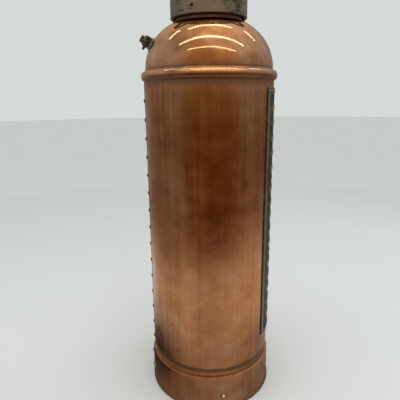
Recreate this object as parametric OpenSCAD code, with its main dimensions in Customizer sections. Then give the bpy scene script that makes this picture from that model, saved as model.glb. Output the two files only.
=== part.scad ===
// Riveted copper soda-acid fire extinguisher of the 2 1/2 gallon size: a rolled copper
// tank with a domed head, a brass screw cap, the acid bottle in its hanging cage and
// the hose outlet on the shoulder. Millimetres, +Z up, origin on the floor at the
// centre of the foot ring. The hose outlet and the riveted seam point to -X, the long
// name plate to +X, and the plain front of the tank to -Y.

/* [Tank] */
// Outside radius of the rolled copper tank
body_r = 88.9; // [80:0.1:100]
// Thickness of the copper sheet
wall = 1.2; // [0.8:0.1:1.6]
// Extra thickness where the sheet laps over itself at the seam
lap_t = 0.6; // [0.3:0.1:0.8]
// Angle that the lap covers
lap_deg = 11; // [8:1:20]
// Outside radius of the band below the groove
band_r = 91.3; // [90.4:0.1:92]
// Height of the bottom of the groove above the floor
groove_z = 61; // [58:0.5:64]
// Depth of the groove in the tank's side
groove_d = 1.9; // [1:0.1:2.2]
// Outside radius of the wired roll at the foot
foot_r = 92.7; // [92.6:0.1:94]

/* [Seam rivets] */
// Number of rivets down the seam
rivet_count = 17; // [8:1:17]
// Distance from one seam rivet to the next
rivet_pitch = 26.3; // [24:0.1:26.3]
// Height of the top seam rivet
rivet_top_z = 434.2; // [430:0.1:440]
// Diameter of a rivet's round head
rivet_head_d = 6; // [5:0.1:7]

/* [Domed head] */
// Height of the middle of the rolled bead that joins the head to the tank
bead_z = 465.9; // [455:0.1:475]
// Outside radius of the bead
bead_r = 93.2; // [92:0.1:95]
// Height of the bead
bead_h = 12.8; // [11:0.1:14]
// Radius of the head where it leaves the bead
dome_r = 87; // [86:0.1:87.6]
// Height that the head's curve would have if it were closed
dome_h = 71; // [66:0.5:76]
// Fullness of the head's curve, where 2 is an ellipse
dome_n = 2.15; // [2:0.05:2.4]

/* [Neck and cap] */
// Outside radius of the neck's screw thread
neck_r = 44; // [42:0.1:46]
// Inside radius of the neck
neck_bore_r = 38; // [37:0.1:39]
// Height of the neck's top rim
neck_top_z = 561; // [559:0.5:562]
// Outside radius of the cap's skirt
cap_r = 51.2; // [50:0.1:53]
// Height of the cap's bottom rim
cap_rim_z = 538.6; // [538:0.1:540]
// Height of the top of the cap's middle
cap_top_z = 588; // [587:0.5:592]
// Clearance between the two threads, on the radius
thread_gap = 0.05; // [0.02:0.01:0.1]
// Overall height, to the top of the cap's two ears
ear_top_z = 609; // [604:0.5:614]
// Radius that the ears reach
ear_reach = 80; // [74:0.5:84]

/* [Outlet] */
// Angle of the hose outlet above level
outlet_tilt = 30; // [24:1:34]
// Radius at which the outlet's axis leaves the head
outlet_x = 76.5; // [75:0.5:78]
// Height at which the outlet's axis leaves the head
outlet_z = 507.5; // [505:0.5:510]
// Radius of the waterway through the outlet
waterway_r = 3.5; // [3:0.1:3.8]
// Outside radius of the hose tail
tail_r = 5.2; // [4.9:0.1:5.3]

/* [Name plate] */
// Angle that the plate covers round the tank
plate_deg = 74; // [60:1:84]
// Height of the plate's bottom edge
plate_z0 = 94; // [90:1:120]
// Height of the plate's top edge
plate_z1 = 450; // [400:1:452]
// Thickness of the plate
plate_t = 1.1; // [0.8:0.1:1.4]
// Height of the raised work on the plate
relief_t = 0.8; // [0.4:0.1:1.2]

/* [Acid bottle and cage] */
// Outside radius of the glass bottle
bottle_r = 31; // [28:0.5:31]
// Height of the underside of the bottle
bottle_z = 394; // [385:1:400]
// Number of straps in the cage
strap_count = 4; // [3:1:6]
// Width of a cage strap
strap_w = 12; // [8:0.5:14]

/* [Hidden] */
$fn = 96;
eps = 0.01;

copper = [0.72, 0.40, 0.22];
old_brass = [0.48, 0.40, 0.26];
dark_brass = [0.26, 0.22, 0.16];
solder_grey = [0.55, 0.52, 0.46];

// Tank
seam_az = 180;
body_in = body_r - wall;
band_in = band_r - wall;
ridge_r = body_r - groove_d;
band_top_z = groove_z - 10;
lip_top_z = groove_z + 5;
shell_top_z = bead_z + 2;
roll_r = 3;
roll_z = roll_r - 0.3;
roll_c = foot_r - roll_r;
wire_r = roll_r - wall;
sheet_z0 = roll_z + (roll_r + wire_r) / 2 - 0.2;
lap_z0 = 2 * roll_r + 1;
lap_z1 = bead_z - bead_h / 2 - 1;

// The roll's centre line and the band leave the tank's outline with these points, from
// the foot upward: the band, its rounded shoulder, the groove and the plain side.
function outer_line(off, z_low, z_high) = [
    [band_r - 0.6 + off, z_low],
    [band_r + off, z_low + 18],
    [band_r + off, band_top_z],
    for (a = [30:30:90]) [band_r - 1.5 * (1 - cos(a)) + off, band_top_z + 2.5 * sin(a)],
    for (a = [90:-30:0]) [ridge_r + 0.2 * (1 - sin(a)) + off + (a == 90 ? 0.4 : 0),
                          groove_z - 2.5 * sin(a)],
    for (a = [30:30:90]) [ridge_r + groove_d * (1 - cos(a)) + off,
                          groove_z + (lip_top_z - groove_z) * sin(a)],
    [body_r + off, z_high]
];
function flipped(p) = [for (i = [len(p) - 1:-1:0]) p[i]];

// Seam rivets
rivet_head_h = 1.8;
rivet_shank_r = 1.6;
rivet_tail_r = 2.6;
rivet_tail_h = 1.0;
seam_rivet_z = [for (i = [0:rivet_count - 1]) rivet_top_z - i * rivet_pitch];
foot_rivet_count = 4;
foot_rivet_az = -82;
foot_rivet_z = 20;

// Bottom head
head_flange_z0 = 34;
flange_mid_z = 41;
head_dish_z = 67;
head_rise = 17;
function dish(r, drop) = head_dish_z - drop - head_rise * pow(r / band_in, 2.2);

// Domed head
dome_z = bead_z + bead_h / 2 + 0.2;
dome_hole_r = neck_r;
bead_c = bead_r - 5.5;
dome_steps = 22;
function dome_at(t, a, b) = [a * pow(cos(t), 2 / dome_n), dome_z + b * pow(sin(t), 2 / dome_n)];
// The curve's angle at which its radius is r
function dome_t(r, a) = acos(pow(r / a, dome_n / 2));
function dome_curve(a, b, r_end) = [
    for (i = [0:dome_steps]) dome_at(i * dome_t(r_end, a) / dome_steps, a, b)
];

// Neck and cap
neck_z0 = 526;
ledge_z = neck_top_z - 4;
ledge_r = 40.5;
cap_bore_r = neck_r + thread_gap;
rim_r = 47.2;
rim_relief_z = cap_rim_z + 5;
gasket_t = 3;
washer_t = 1.6;
gasket_r = neck_r - 0.6;
gasket_in = 36;
washer_r = neck_r - 0.4;
washer_in = 31;
ceiling_z = neck_top_z + gasket_t + washer_t;
cap_well_r = 29;
cap_well_z = 581;
cap_side_z = 573;
vent_r = 1.6;
vent_z = 547.7;
vent_count = 3;
vent_az = -118;
ear_t = 11;
ear_r = 20;
ear_hole_r = 11;
ear_c = ear_reach - ear_r;
ear_z = ear_top_z - ear_r;

// Outlet, measured outward along its own axis from the head's surface
boss_r = 7.8;
boss_in = -8;
boss_out = 5;
nipple_thread_r = 5.6;
nipple_end = 9;
nut_bore_r = 6.2;
nipple_nut_r = nut_bore_r - 0.05;
nut_r = 7.5;
nut_z0 = boss_out + 0.3;
nut_lip = 11.4;
nut_end = 12.6;
tail_collar_r = nut_bore_r - 0.3;
hose_washer_t = 1.2;
tail_end = 17.2;
tail_step = nut_end + 0.3;
lug_reach = 11.4;
strainer_r = 7.3;
strainer_l = 20;

// Name plate
plate_r = body_r + plate_t;
relief_r = plate_r + relief_t;
relief_root = 0.4;
margin = 1.5;
border = 7;
panel_count = 3;
panel_gap = 9;
bar_count = 5;
bar_h = 9;

// Cage and bottle
cage_in = 34.3;
cage_t = 1.2;
cage_out = cage_in + cage_t;
ring_out = 37.6;
ring_z0 = neck_top_z - 17;
ring_flange_r = ledge_r - 0.4;
ring_flange_z1 = neck_top_z - 0.6;
cup_z0 = bottle_z - cage_t;
cup_h = 18;
glass_t = 3;
shoulder_z = bottle_z + 124;
bottle_neck_r = 14.5;
mouth_r = 10.5;
mouth_z = bottle_z + 156;
mouth_lip_r = 17;
stopper_plug_r = mouth_r - 0.5;
stopper_l = 14;
stopper_head_r = 15.5;
stopper_head_h = 7;

module about(az) {
    rotate([0, 0, az]) children();
}

// A ring from radius r0 to r1 between two heights
module ring(r0, r1, z0, z1) {
    translate([0, 0, z0]) difference() {
        cylinder(r = r1, h = z1 - z0);
        translate([0, 0, -1]) cylinder(r = r0, h = z1 - z0 + 2);
    }
}

// Holds its children in the outlet's own axes: Z runs outward, X stays in the XZ plane
module on_outlet() {
    translate([-outlet_x, 0, outlet_z]) rotate([0, outlet_tilt - 90, 0]) children();
}

// The tank's rolled sheet in section: the side and band, and the roll round the wire
module shell_section() {
    outside = outer_line(0, sheet_z0, shell_top_z);
    inside = outer_line(-wall, sheet_z0, shell_top_z);
    polygon(concat(outside, flipped(inside)));
    intersection() {
        translate([roll_c, roll_z]) difference() {
            circle(r = roll_r, $fn = 48);
            circle(r = wire_r, $fn = 48);
        }
        translate([roll_c - 2 * roll_r, 0]) square([4 * roll_r, 4 * roll_r]);
    }
}

module foot_rivet_places() {
    for (i = [0:foot_rivet_count - 1]) about(foot_rivet_az + i * 360 / foot_rivet_count)
        translate([0, 0, foot_rivet_z]) children();
}

// Radius of the lap's outside under a seam rivet's head, at the widest place it covers
function seat_r(z) = z + rivet_head_d / 2 > lip_top_z ? body_r + lap_t : band_r + lap_t;
// Radius that its tail is upset against, inside
function tail_seat_r(z) = seat_r(z) - lap_t - wall - 0.45;

// Copper tank: one rolled sheet with its lap, groove, foot band and wired edge
module shell() color(copper) {
    difference() {
        union() {
            rotate_extrude() shell_section();
            about(seam_az - lap_deg / 2) rotate_extrude(angle = lap_deg)
                polygon(concat(outer_line(lap_t, lap_z0, lap_z1),
                               flipped(outer_line(-wall / 2, lap_z0, lap_z1))));
        }
        for (z = seam_rivet_z) about(seam_az) {
            translate([body_r - 8, 0, z]) rotate([0, 90, 0]) cylinder(r = rivet_shank_r, h = 16);
            translate([tail_seat_r(z) - 8, 0, z]) rotate([0, 90, 0])
                cylinder(r = rivet_tail_r + 0.1, h = 8);
        }
        foot_rivet_places() translate([band_r - 8, 0, 0]) rotate([0, 90, 0])
            cylinder(r = rivet_shank_r, h = 16);
    }
}

// One round-head rivet through the sheet: seat is the outside, back the inside
module rivet(seat, back) {
    head_ball = (pow(rivet_head_d / 2, 2) + pow(rivet_head_h, 2)) / (2 * rivet_head_h);
    translate([seat, 0, 0]) rotate([0, 90, 0]) intersection() {
        translate([0, 0, rivet_head_h - head_ball]) sphere(r = head_ball, $fn = 48);
        cylinder(r = rivet_head_d, h = rivet_head_h + 1);
    }
    translate([back - rivet_tail_h, 0, 0]) rotate([0, 90, 0])
        cylinder(r = rivet_tail_r, h = rivet_tail_h);
    translate([back - rivet_tail_h / 2, 0, 0]) rotate([0, 90, 0])
        cylinder(r = rivet_shank_r, h = seat - back + rivet_tail_h / 2 + 0.5);
}

// The rivets down the lapped seam, each with its head outside and its tail inside
module seam_rivets() color(copper) {
    for (z = seam_rivet_z) about(seam_az) translate([0, 0, z]) rivet(seat_r(z), tail_seat_r(z));
}

// Iron wire that stiffens the rolled foot
module foot_wire() color("dimgray") {
    rotate_extrude() translate([roll_c, roll_z]) intersection() {
        circle(r = wire_r, $fn = 48);
        translate([-wire_r, -roll_z + wall]) square([2 * wire_r, 2 * roll_z]);
    }
}

// Round-head rivets that pin the foot band to the bottom head's flange
module foot_rivets() color(old_brass) {
    foot_rivet_places() rivet(band_r, band_r - wall - 0.35);
}

// Dished bottom of the tank, pushed up under the groove and soldered in by its flange
module bottom_head() color(copper) {
    rim = band_in - 4.5;
    top = [for (i = [0:12]) [rim * i / 12, dish(rim * i / 12, 0)]];
    under = [for (i = [12:-1:0]) [rim * i / 12, dish(rim * i / 12, wall)]];
    difference() {
        rotate_extrude() polygon(concat(
            top,
            [for (a = [60:-30:0]) [rim + 4.5 * cos(a), dish(rim, 0) - 4.5 + 4.5 * sin(a)]],
            [[band_in, head_flange_z0], [band_in - wall, head_flange_z0]],
            [for (a = [0:30:60]) [rim + 3.3 * cos(a), dish(rim, 0) - 4.5 + 3.3 * sin(a)]],
            under));
        for (z = seam_rivet_z) if (abs(z - flange_mid_z) < 8)
            about(seam_az) translate([band_in - 8, 0, z]) rotate([0, 90, 0])
                cylinder(r = rivet_tail_r + 0.2, h = 16);
    }
}

// Outline of the rolled bead, shrunk by off from its outside
function bead_line(off, a0, a1) = [
    for (a = [a0:15:a1]) [bead_c + (bead_r - bead_c - off) * cos(a),
                          bead_z + (bead_h / 2 - off) * sin(a)]
];

// Solid of revolution under the head's outer skin, used to trim what sits on it
module dome_mass() {
    skin = dome_curve(dome_r, dome_h, dome_hole_r);
    rotate_extrude() polygon(concat([[0, dome_z]], skin, [[0, skin[dome_steps][1]]]));
}

// Domed copper head with the rolled bead that laps over the tank
module top_dome() color(copper) {
    skin = dome_curve(dome_r, dome_h, dome_hole_r);
    lining = dome_curve(dome_r - wall, dome_h - wall, dome_hole_r);
    difference() {
        rotate_extrude() polygon(concat(
            [[body_r, bead_z - bead_h / 2 + 0.35]],
            bead_line(0, -75, 90),
            skin,
            flipped(lining),
            [[dome_r - wall, shell_top_z + 0.2], [body_r, shell_top_z + 0.2]],
            flipped(bead_line(wall, -60, 75))));
        on_outlet() translate([0, 0, -40]) cylinder(r = boss_r, h = 60);
    }
}

// Soft solder run into the hollow of the bead
module bead_solder() color(solder_grey) {
    rotate_extrude() difference() {
        polygon(concat([[body_r, bead_z - bead_h / 2 + 0.35]],
                       bead_line(wall, -60, 75),
                       [[body_r, shell_top_z + 0.2]]));
        translate([0, bead_z - bead_h]) square([body_r, 2 * bead_h]);
    }
}

// Brass neck with the cap's thread outside and a ledge inside for the cage
module neck_collar() color(old_brass) {
    rotate_extrude() polygon([
        [neck_bore_r, neck_z0],
        [neck_r, neck_z0],
        [neck_r, neck_top_z - 1],
        [neck_r - 1, neck_top_z],
        [ledge_r, neck_top_z],
        [ledge_r, ledge_z],
        [neck_bore_r, ledge_z]
    ]);
}

// Solder fillet where the neck stands out of the head
module neck_solder() color(solder_grey) {
    skin = dome_curve(dome_r, dome_h, dome_hole_r);
    top = skin[dome_steps];
    rotate_extrude() polygon([
        top,
        skin[dome_steps - 1],
        [neck_r + 1, top[1] + 0.8],
        [neck_r, top[1] + 2.4]
    ]);
}

// A block on the tank's side: half its angle, its two heights and its two radii
module wrapped(half_deg, z0, z1, r0, r1) {
    about(-half_deg) rotate_extrude(angle = 2 * half_deg)
        translate([r0, z0]) square([r1 - r0, z1 - z0]);
}

// Long brass name plate, with a raised border and plain raised bars and no lettering
module name_plate() color([0.38, 0.36, 0.28]) {
    half = plate_deg / 2;
    mm = 180 / PI / plate_r;
    inside = half - border * mm;
    panel_h = (plate_z1 - plate_z0 - 2 * border - (panel_count + 1) * panel_gap) / panel_count;
    wrapped(half, plate_z0, plate_z1, body_r, plate_r);
    difference() {
        wrapped(half - margin * mm, plate_z0 + margin, plate_z1 - margin,
                plate_r - relief_root, relief_r);
        wrapped(inside, plate_z0 + border, plate_z1 - border, plate_r - wall, relief_r + wall);
    }
    for (i = [0:panel_count - 1]) for (k = [0:bar_count - 1]) {
        mid_z = plate_z0 + border + panel_gap + i * (panel_h + panel_gap)
                + (k + 0.5) * panel_h / bar_count;
        wrapped(inside - (k % 2 == 0 ? 9 : 16) * mm, mid_z - bar_h / 2, mid_z + bar_h / 2,
                plate_r - relief_root, relief_r);
    }
}

// Brass boss through the head, threaded for the nipple
module outlet_boss() color(old_brass) {
    on_outlet() difference() {
        translate([0, 0, boss_in]) cylinder(r = boss_r, h = boss_out - boss_in);
        translate([0, 0, boss_in - 1]) cylinder(r = nipple_thread_r, h = boss_out - boss_in + 2);
    }
}

// Solder fillet round the boss, trimmed to the head's curve
module outlet_solder() color(solder_grey) {
    difference() {
        on_outlet() translate([0, 0, -6]) cylinder(r1 = boss_r + 9, r2 = boss_r + 0.2, h = 8);
        on_outlet() translate([0, 0, -20]) cylinder(r = boss_r, h = 40);
        dome_mass($fn = 256);
    }
}

// Brass nipple: threaded into the boss, and outside it for the coupling nut
module outlet_nipple() color(old_brass) {
    on_outlet() difference() {
        union() {
            translate([0, 0, boss_in]) cylinder(r = nipple_thread_r, h = nipple_end - boss_in);
            translate([0, 0, boss_out]) cylinder(r = nipple_nut_r, h = nipple_end - boss_out);
        }
        translate([0, 0, boss_in - 1]) cylinder(r = waterway_r, h = nipple_end - boss_in + 2);
    }
}

// Pierced brass thimble over the inner end of the outlet
module outlet_strainer() color(old_brass) {
    skin = 0.8;
    on_outlet() difference() {
        translate([0, 0, boss_in - strainer_l]) cylinder(r = strainer_r, h = strainer_l);
        translate([0, 0, boss_in - strainer_l + skin]) cylinder(r = strainer_r - skin, h = strainer_l);
        for (row = [0:3]) for (i = [0:3])
            translate([0, 0, boss_in - strainer_l + 4 + row * 4]) rotate([0, 0, i * 45 + row * 22.5])
                rotate([90, 0, 0]) translate([0, 0, -strainer_r - 1])
                    cylinder(r = 1, h = 2 * strainer_r + 2, $fn = 16);
    }
}

// Leather washer between the nipple and the hose tail
module hose_washer() color([0.30, 0.20, 0.12]) {
    on_outlet() ring(waterway_r, tail_collar_r, nipple_end, nipple_end + hose_washer_t);
}

// Brass hose tail: a collar that the nut holds, and a tapered, ridged stem
module hose_tail() color(dark_brass) {
    z0 = nipple_end + hose_washer_t;
    stem = tail_r - 0.5;
    on_outlet() rotate_extrude() polygon([
        [waterway_r, z0],
        [tail_collar_r, z0],
        [tail_collar_r, nut_lip - 0.3],
        [stem, nut_lip - 0.3],
        [stem, tail_step],
        [tail_r, tail_step],
        [tail_r, tail_end - 0.6],
        [tail_r - 0.6, tail_end],
        [waterway_r, tail_end]
    ]);
}

// Coupling nut that draws the tail onto the nipple, with three small spanner lugs
module coupling_nut() color(dark_brass) {
    on_outlet() difference() {
        union() {
            translate([0, 0, nut_z0]) cylinder(r = nut_r, h = nut_end - nut_z0);
            for (i = [0:2]) rotate([0, 0, 180 + i * 120]) translate([0, -1.6, nut_z0 + 1.2])
                cube([lug_reach, 3.2, 3.6]);
        }
        translate([0, 0, nut_z0 - 1]) cylinder(r = nut_bore_r, h = nut_lip - nut_z0 + 1);
        translate([0, 0, nut_z0]) cylinder(r = tail_r + 0.15, h = nut_end);
    }
}

// Brass ring that hangs the cage on the neck's ledge
module cage_ring() color(old_brass) {
    ring(cage_out, ring_out, ring_z0, ledge_z + eps);
    ring(cage_out, ring_flange_r, ledge_z, ring_flange_z1);
}

// Flat brass straps from the ring down to the cup
module cage_straps() color(old_brass) {
    arc = strap_w / cage_out * 180 / PI;
    for (i = [0:strap_count - 1]) about(45 + i * 360 / strap_count - arc / 2)
        rotate_extrude(angle = arc) translate([cage_in, cup_z0])
            square([cage_t, ledge_z - cup_z0]);
}

// Cup that the bottle stands in
module cage_cup() color(old_brass) {
    wall_in = cage_in - cage_t;
    difference() {
        translate([0, 0, cup_z0]) cylinder(r = cage_in, h = cup_h);
        translate([0, 0, bottle_z]) cylinder(r = wall_in, h = cup_h);
        for (i = [0:3]) about(i * 90) translate([18, 0, cup_z0 - 1]) cylinder(r = 6, h = 4);
    }
}

// Small rivets: head inside, tail outside, at both ends of each strap
module cage_rivets() color(copper) {
    for (i = [0:strap_count - 1]) about(45 + i * 360 / strap_count) {
        translate([cage_out, 0, cup_z0 + 11]) rotate([0, 90, 0]) cylinder(r = 2.2, h = 0.9);
        translate([cage_in - 0.9, 0, ring_z0 + 6]) rotate([0, 90, 0]) cylinder(r = 2.2, h = 0.85);
    }
}

// Glass acid bottle with a loose stopper's flat mouth
module acid_bottle() color([0.55, 0.72, 0.66, 0.45]) {
    rotate_extrude() polygon(concat(
        [[0, bottle_z + 2], [10, bottle_z], [bottle_r - 3, bottle_z]],
        [for (a = [-60:30:0]) [bottle_r - 3 + 3 * cos(a), bottle_z + 3 + 3 * sin(a)]],
        [for (a = [0:15:75]) [bottle_r - 14 + 14 * cos(a), shoulder_z + 14 * sin(a)]],
        [[bottle_neck_r, shoulder_z + 16],
         [bottle_neck_r, mouth_z - 6],
         [mouth_lip_r, mouth_z - 4],
         [mouth_lip_r, mouth_z - 1],
         [mouth_lip_r - 1, mouth_z],
         [mouth_r, mouth_z],
         [mouth_r, shoulder_z + 15]],
        [for (a = [75:-15:0]) [bottle_r - 14 + (14 - glass_t) * cos(a),
                               shoulder_z + (14 - glass_t) * sin(a)]],
        [[bottle_r - glass_t, bottle_z + 7], [bottle_r - 7, bottle_z + 4.5], [0, bottle_z + 6]]));
}

// Loose lead stopper that rests on the bottle's mouth and drops off when it is inverted
module bottle_stopper() color("gray") {
    rotate_extrude() polygon([
        [0, mouth_z - stopper_l],
        [stopper_plug_r - 1.5, mouth_z - stopper_l],
        [stopper_plug_r, mouth_z - stopper_l + 4],
        [stopper_plug_r, mouth_z],
        [stopper_head_r, mouth_z],
        [stopper_head_r, mouth_z + stopper_head_h - 3],
        [stopper_head_r - 3, mouth_z + stopper_head_h],
        [0, mouth_z + stopper_head_h]
    ]);
}

// Rubber ring that seals the cap on the neck's rim
module cap_gasket() color([0.10, 0.09, 0.09]) {
    ring(gasket_in, gasket_r, neck_top_z, neck_top_z + gasket_t);
}

// Brass washer that keeps the turning cap off the rubber
module gasket_washer() color(old_brass) {
    ring(washer_in, washer_r, neck_top_z + gasket_t, ceiling_z);
}

// One ear of the cap: a flat round lug with a finger hole, blended into the shoulder
module ear() {
    rotate([90, 0, 0]) translate([0, 0, -ear_t / 2]) difference() {
        linear_extrude(height = ear_t) hull() {
            translate([ear_c, ear_z]) circle(r = ear_r, $fn = 64);
            translate([cap_r - 22, cap_side_z - 3]) square([2, 14]);
        }
        translate([ear_c, ear_z, -1]) cylinder(r = ear_hole_r, h = ear_t + 2);
    }
}

// Cast brass cap: threaded skirt with vent holes, domed top and two ears to turn it by
module cap() color(old_brass) {
    difference() {
        union() {
            rotate_extrude() polygon(concat(
                [[0, cap_rim_z + 8]],
                [[rim_r, cap_rim_z + 8], [rim_r, cap_rim_z + 1]],
                [for (a = [0:30:90]) [rim_r + 1 - cos(a), cap_rim_z + 1 - sin(a)]],
                [for (a = [-60:30:0]) [cap_r - 2 + 2 * cos(a), cap_rim_z + 2 + 2 * sin(a)]],
                [[cap_r, cap_side_z - 12], [cap_r - 0.8, cap_side_z - 11], [cap_r - 0.8, cap_side_z]],
                [for (a = [15:15:75]) [cap_r - 8.8 + 8 * cos(a), cap_side_z + 8 * sin(a)]],
                [[cap_r - 16, cap_side_z + 9.5], [24, cap_top_z - 3], [12, cap_top_z - 0.5],
                 [0, cap_top_z]]));
            ear();
            mirror([1, 0, 0]) ear();
        }
        translate([0, 0, cap_rim_z - 1]) cylinder(r = rim_r, h = rim_relief_z - cap_rim_z + 1);
        translate([0, 0, cap_rim_z - 1]) cylinder(r = cap_bore_r, h = ceiling_z - cap_rim_z + 1);
        translate([0, 0, cap_rim_z - 1]) cylinder(r = cap_well_r, h = cap_well_z - cap_rim_z + 1);
        for (i = [0:vent_count - 1]) about(vent_az + i * 360 / vent_count)
            translate([neck_r - 4, 0, vent_z]) rotate([0, 90, 0]) cylinder(r = vent_r, h = 16);
    }
}

shell();
seam_rivets();
foot_wire();
foot_rivets();
bottom_head();
top_dome();
bead_solder();
neck_collar();
neck_solder();
name_plate();
outlet_boss();
outlet_solder();
outlet_nipple();
outlet_strainer();
hose_washer();
hose_tail();
coupling_nut();
cage_ring();
cage_straps();
cage_cup();
cage_rivets();
acid_bottle();
bottle_stopper();
cap_gasket();
gasket_washer();
cap();
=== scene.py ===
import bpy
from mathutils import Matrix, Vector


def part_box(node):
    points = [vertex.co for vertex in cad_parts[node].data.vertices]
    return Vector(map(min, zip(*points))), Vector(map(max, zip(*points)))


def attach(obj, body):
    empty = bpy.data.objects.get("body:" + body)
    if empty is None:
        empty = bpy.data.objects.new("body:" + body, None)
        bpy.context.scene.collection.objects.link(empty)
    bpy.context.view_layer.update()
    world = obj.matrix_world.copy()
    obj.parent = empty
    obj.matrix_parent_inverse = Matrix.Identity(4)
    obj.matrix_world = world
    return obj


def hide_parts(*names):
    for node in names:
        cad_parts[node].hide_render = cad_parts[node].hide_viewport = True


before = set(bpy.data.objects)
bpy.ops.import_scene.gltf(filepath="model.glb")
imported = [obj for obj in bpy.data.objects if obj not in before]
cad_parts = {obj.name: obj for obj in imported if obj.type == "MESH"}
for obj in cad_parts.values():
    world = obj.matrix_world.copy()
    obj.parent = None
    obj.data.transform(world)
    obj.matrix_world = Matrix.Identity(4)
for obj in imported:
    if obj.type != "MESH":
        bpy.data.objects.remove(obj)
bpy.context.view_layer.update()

# Looks of a riveted copper soda-acid fire extinguisher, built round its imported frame.
# Sizes are in millimetres in the classes and in metres in the meshes. Z is up, the riveted
# seam and the hose outlet face -X, the name plate faces +X and the plain front faces -Y.

import logging
import math
from dataclasses import dataclass
from enum import Enum
from typing import Callable, Sequence

import bpy
import numpy as np
from mathutils import Matrix

log = logging.getLogger("extinguisher")

Array = np.ndarray
Colour = tuple[float, float, float]
Warp = Callable[[Array, Array, Array, Array], tuple[Array, Array]]

MM = 0.001
FULL_TURN = 2 * math.pi
POLE = 1e-6


# ---------------------------------------------------------------- shader expressions


class Field:
    """A value that varies over a surface: one output socket, with arithmetic that adds nodes."""

    def __init__(self, tree: "Tree", socket: bpy.types.NodeSocket) -> None:
        """Wraps a socket of the tree."""
        self.tree = tree
        self.socket = socket

    def _wide(self, other: object) -> bool:
        """True if either side is a vector or a colour."""
        return self.socket.type != "VALUE" or (isinstance(other, Field) and other.socket.type != "VALUE")

    def _join(self, operation: str, other: object, swap: bool = False) -> "Field":
        """Adds the node for one operation.

        Args:
            operation: name of the Math or Vector Math operation.
            other: a number, a tuple or another Field.
            swap: True when other stands on the left.

        Returns:
            The result as a Field.
        """
        pair = (other, self) if swap else (self, other)
        if not self._wide(other):
            return self.tree.node("ShaderNodeMath", {"operation": operation}, {0: pair[0], 1: pair[1]})
        if isinstance(other, (int, float)):
            pair = tuple((p,) * 3 if isinstance(p, (int, float)) else p for p in pair)
        return self.tree.node("ShaderNodeVectorMath", {"operation": operation}, {0: pair[0], 1: pair[1]})

    def __add__(self, other: object) -> "Field":
        """self + other."""
        return self._join("ADD", other)

    def __radd__(self, other: object) -> "Field":
        """other + self."""
        return self._join("ADD", other, True)

    def __sub__(self, other: object) -> "Field":
        """self - other."""
        return self._join("SUBTRACT", other)

    def __rsub__(self, other: object) -> "Field":
        """other - self."""
        return self._join("SUBTRACT", other, True)

    def __mul__(self, other: object) -> "Field":
        """self * other."""
        return self._join("MULTIPLY", other)

    def __rmul__(self, other: object) -> "Field":
        """other * self."""
        return self._join("MULTIPLY", other, True)

    def __truediv__(self, other: object) -> "Field":
        """self / other."""
        return self._join("DIVIDE", other)

    def __abs__(self) -> "Field":
        """Size of a number, whatever its sign."""
        return self.tree.node("ShaderNodeMath", {"operation": "ABSOLUTE"}, {0: self})

    def __mod__(self, other: float) -> "Field":
        """Remainder, always from 0 up to other."""
        return self.tree.node("ShaderNodeMath", {"operation": "FLOORED_MODULO"}, {0: self, 1: other})

    def __pow__(self, other: float) -> "Field":
        """self to a power."""
        return self._join("POWER", other)

    def step(self, low: float, high: float) -> "Field":
        """Smooth step: 0 below low, 1 above high; with low above high it falls instead."""
        settings = {"interpolation_type": "SMOOTHSTEP", "clamp": True}
        ends = {0: self, 1: min(low, high), 2: max(low, high), 3: float(low > high), 4: float(low <= high)}
        return self.tree.node("ShaderNodeMapRange", settings, ends)

    def near(self, middle: float, reach: float) -> "Field":
        """1 at middle, falling smoothly to 0 at a distance of reach."""
        return abs(self - middle).step(reach, 0.0)

    def least(self, other: object) -> "Field":
        """The smaller of two values."""
        return self._join("MINIMUM", other)

    def most(self, other: object) -> "Field":
        """The larger of two values."""
        return self._join("MAXIMUM", other)


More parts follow.
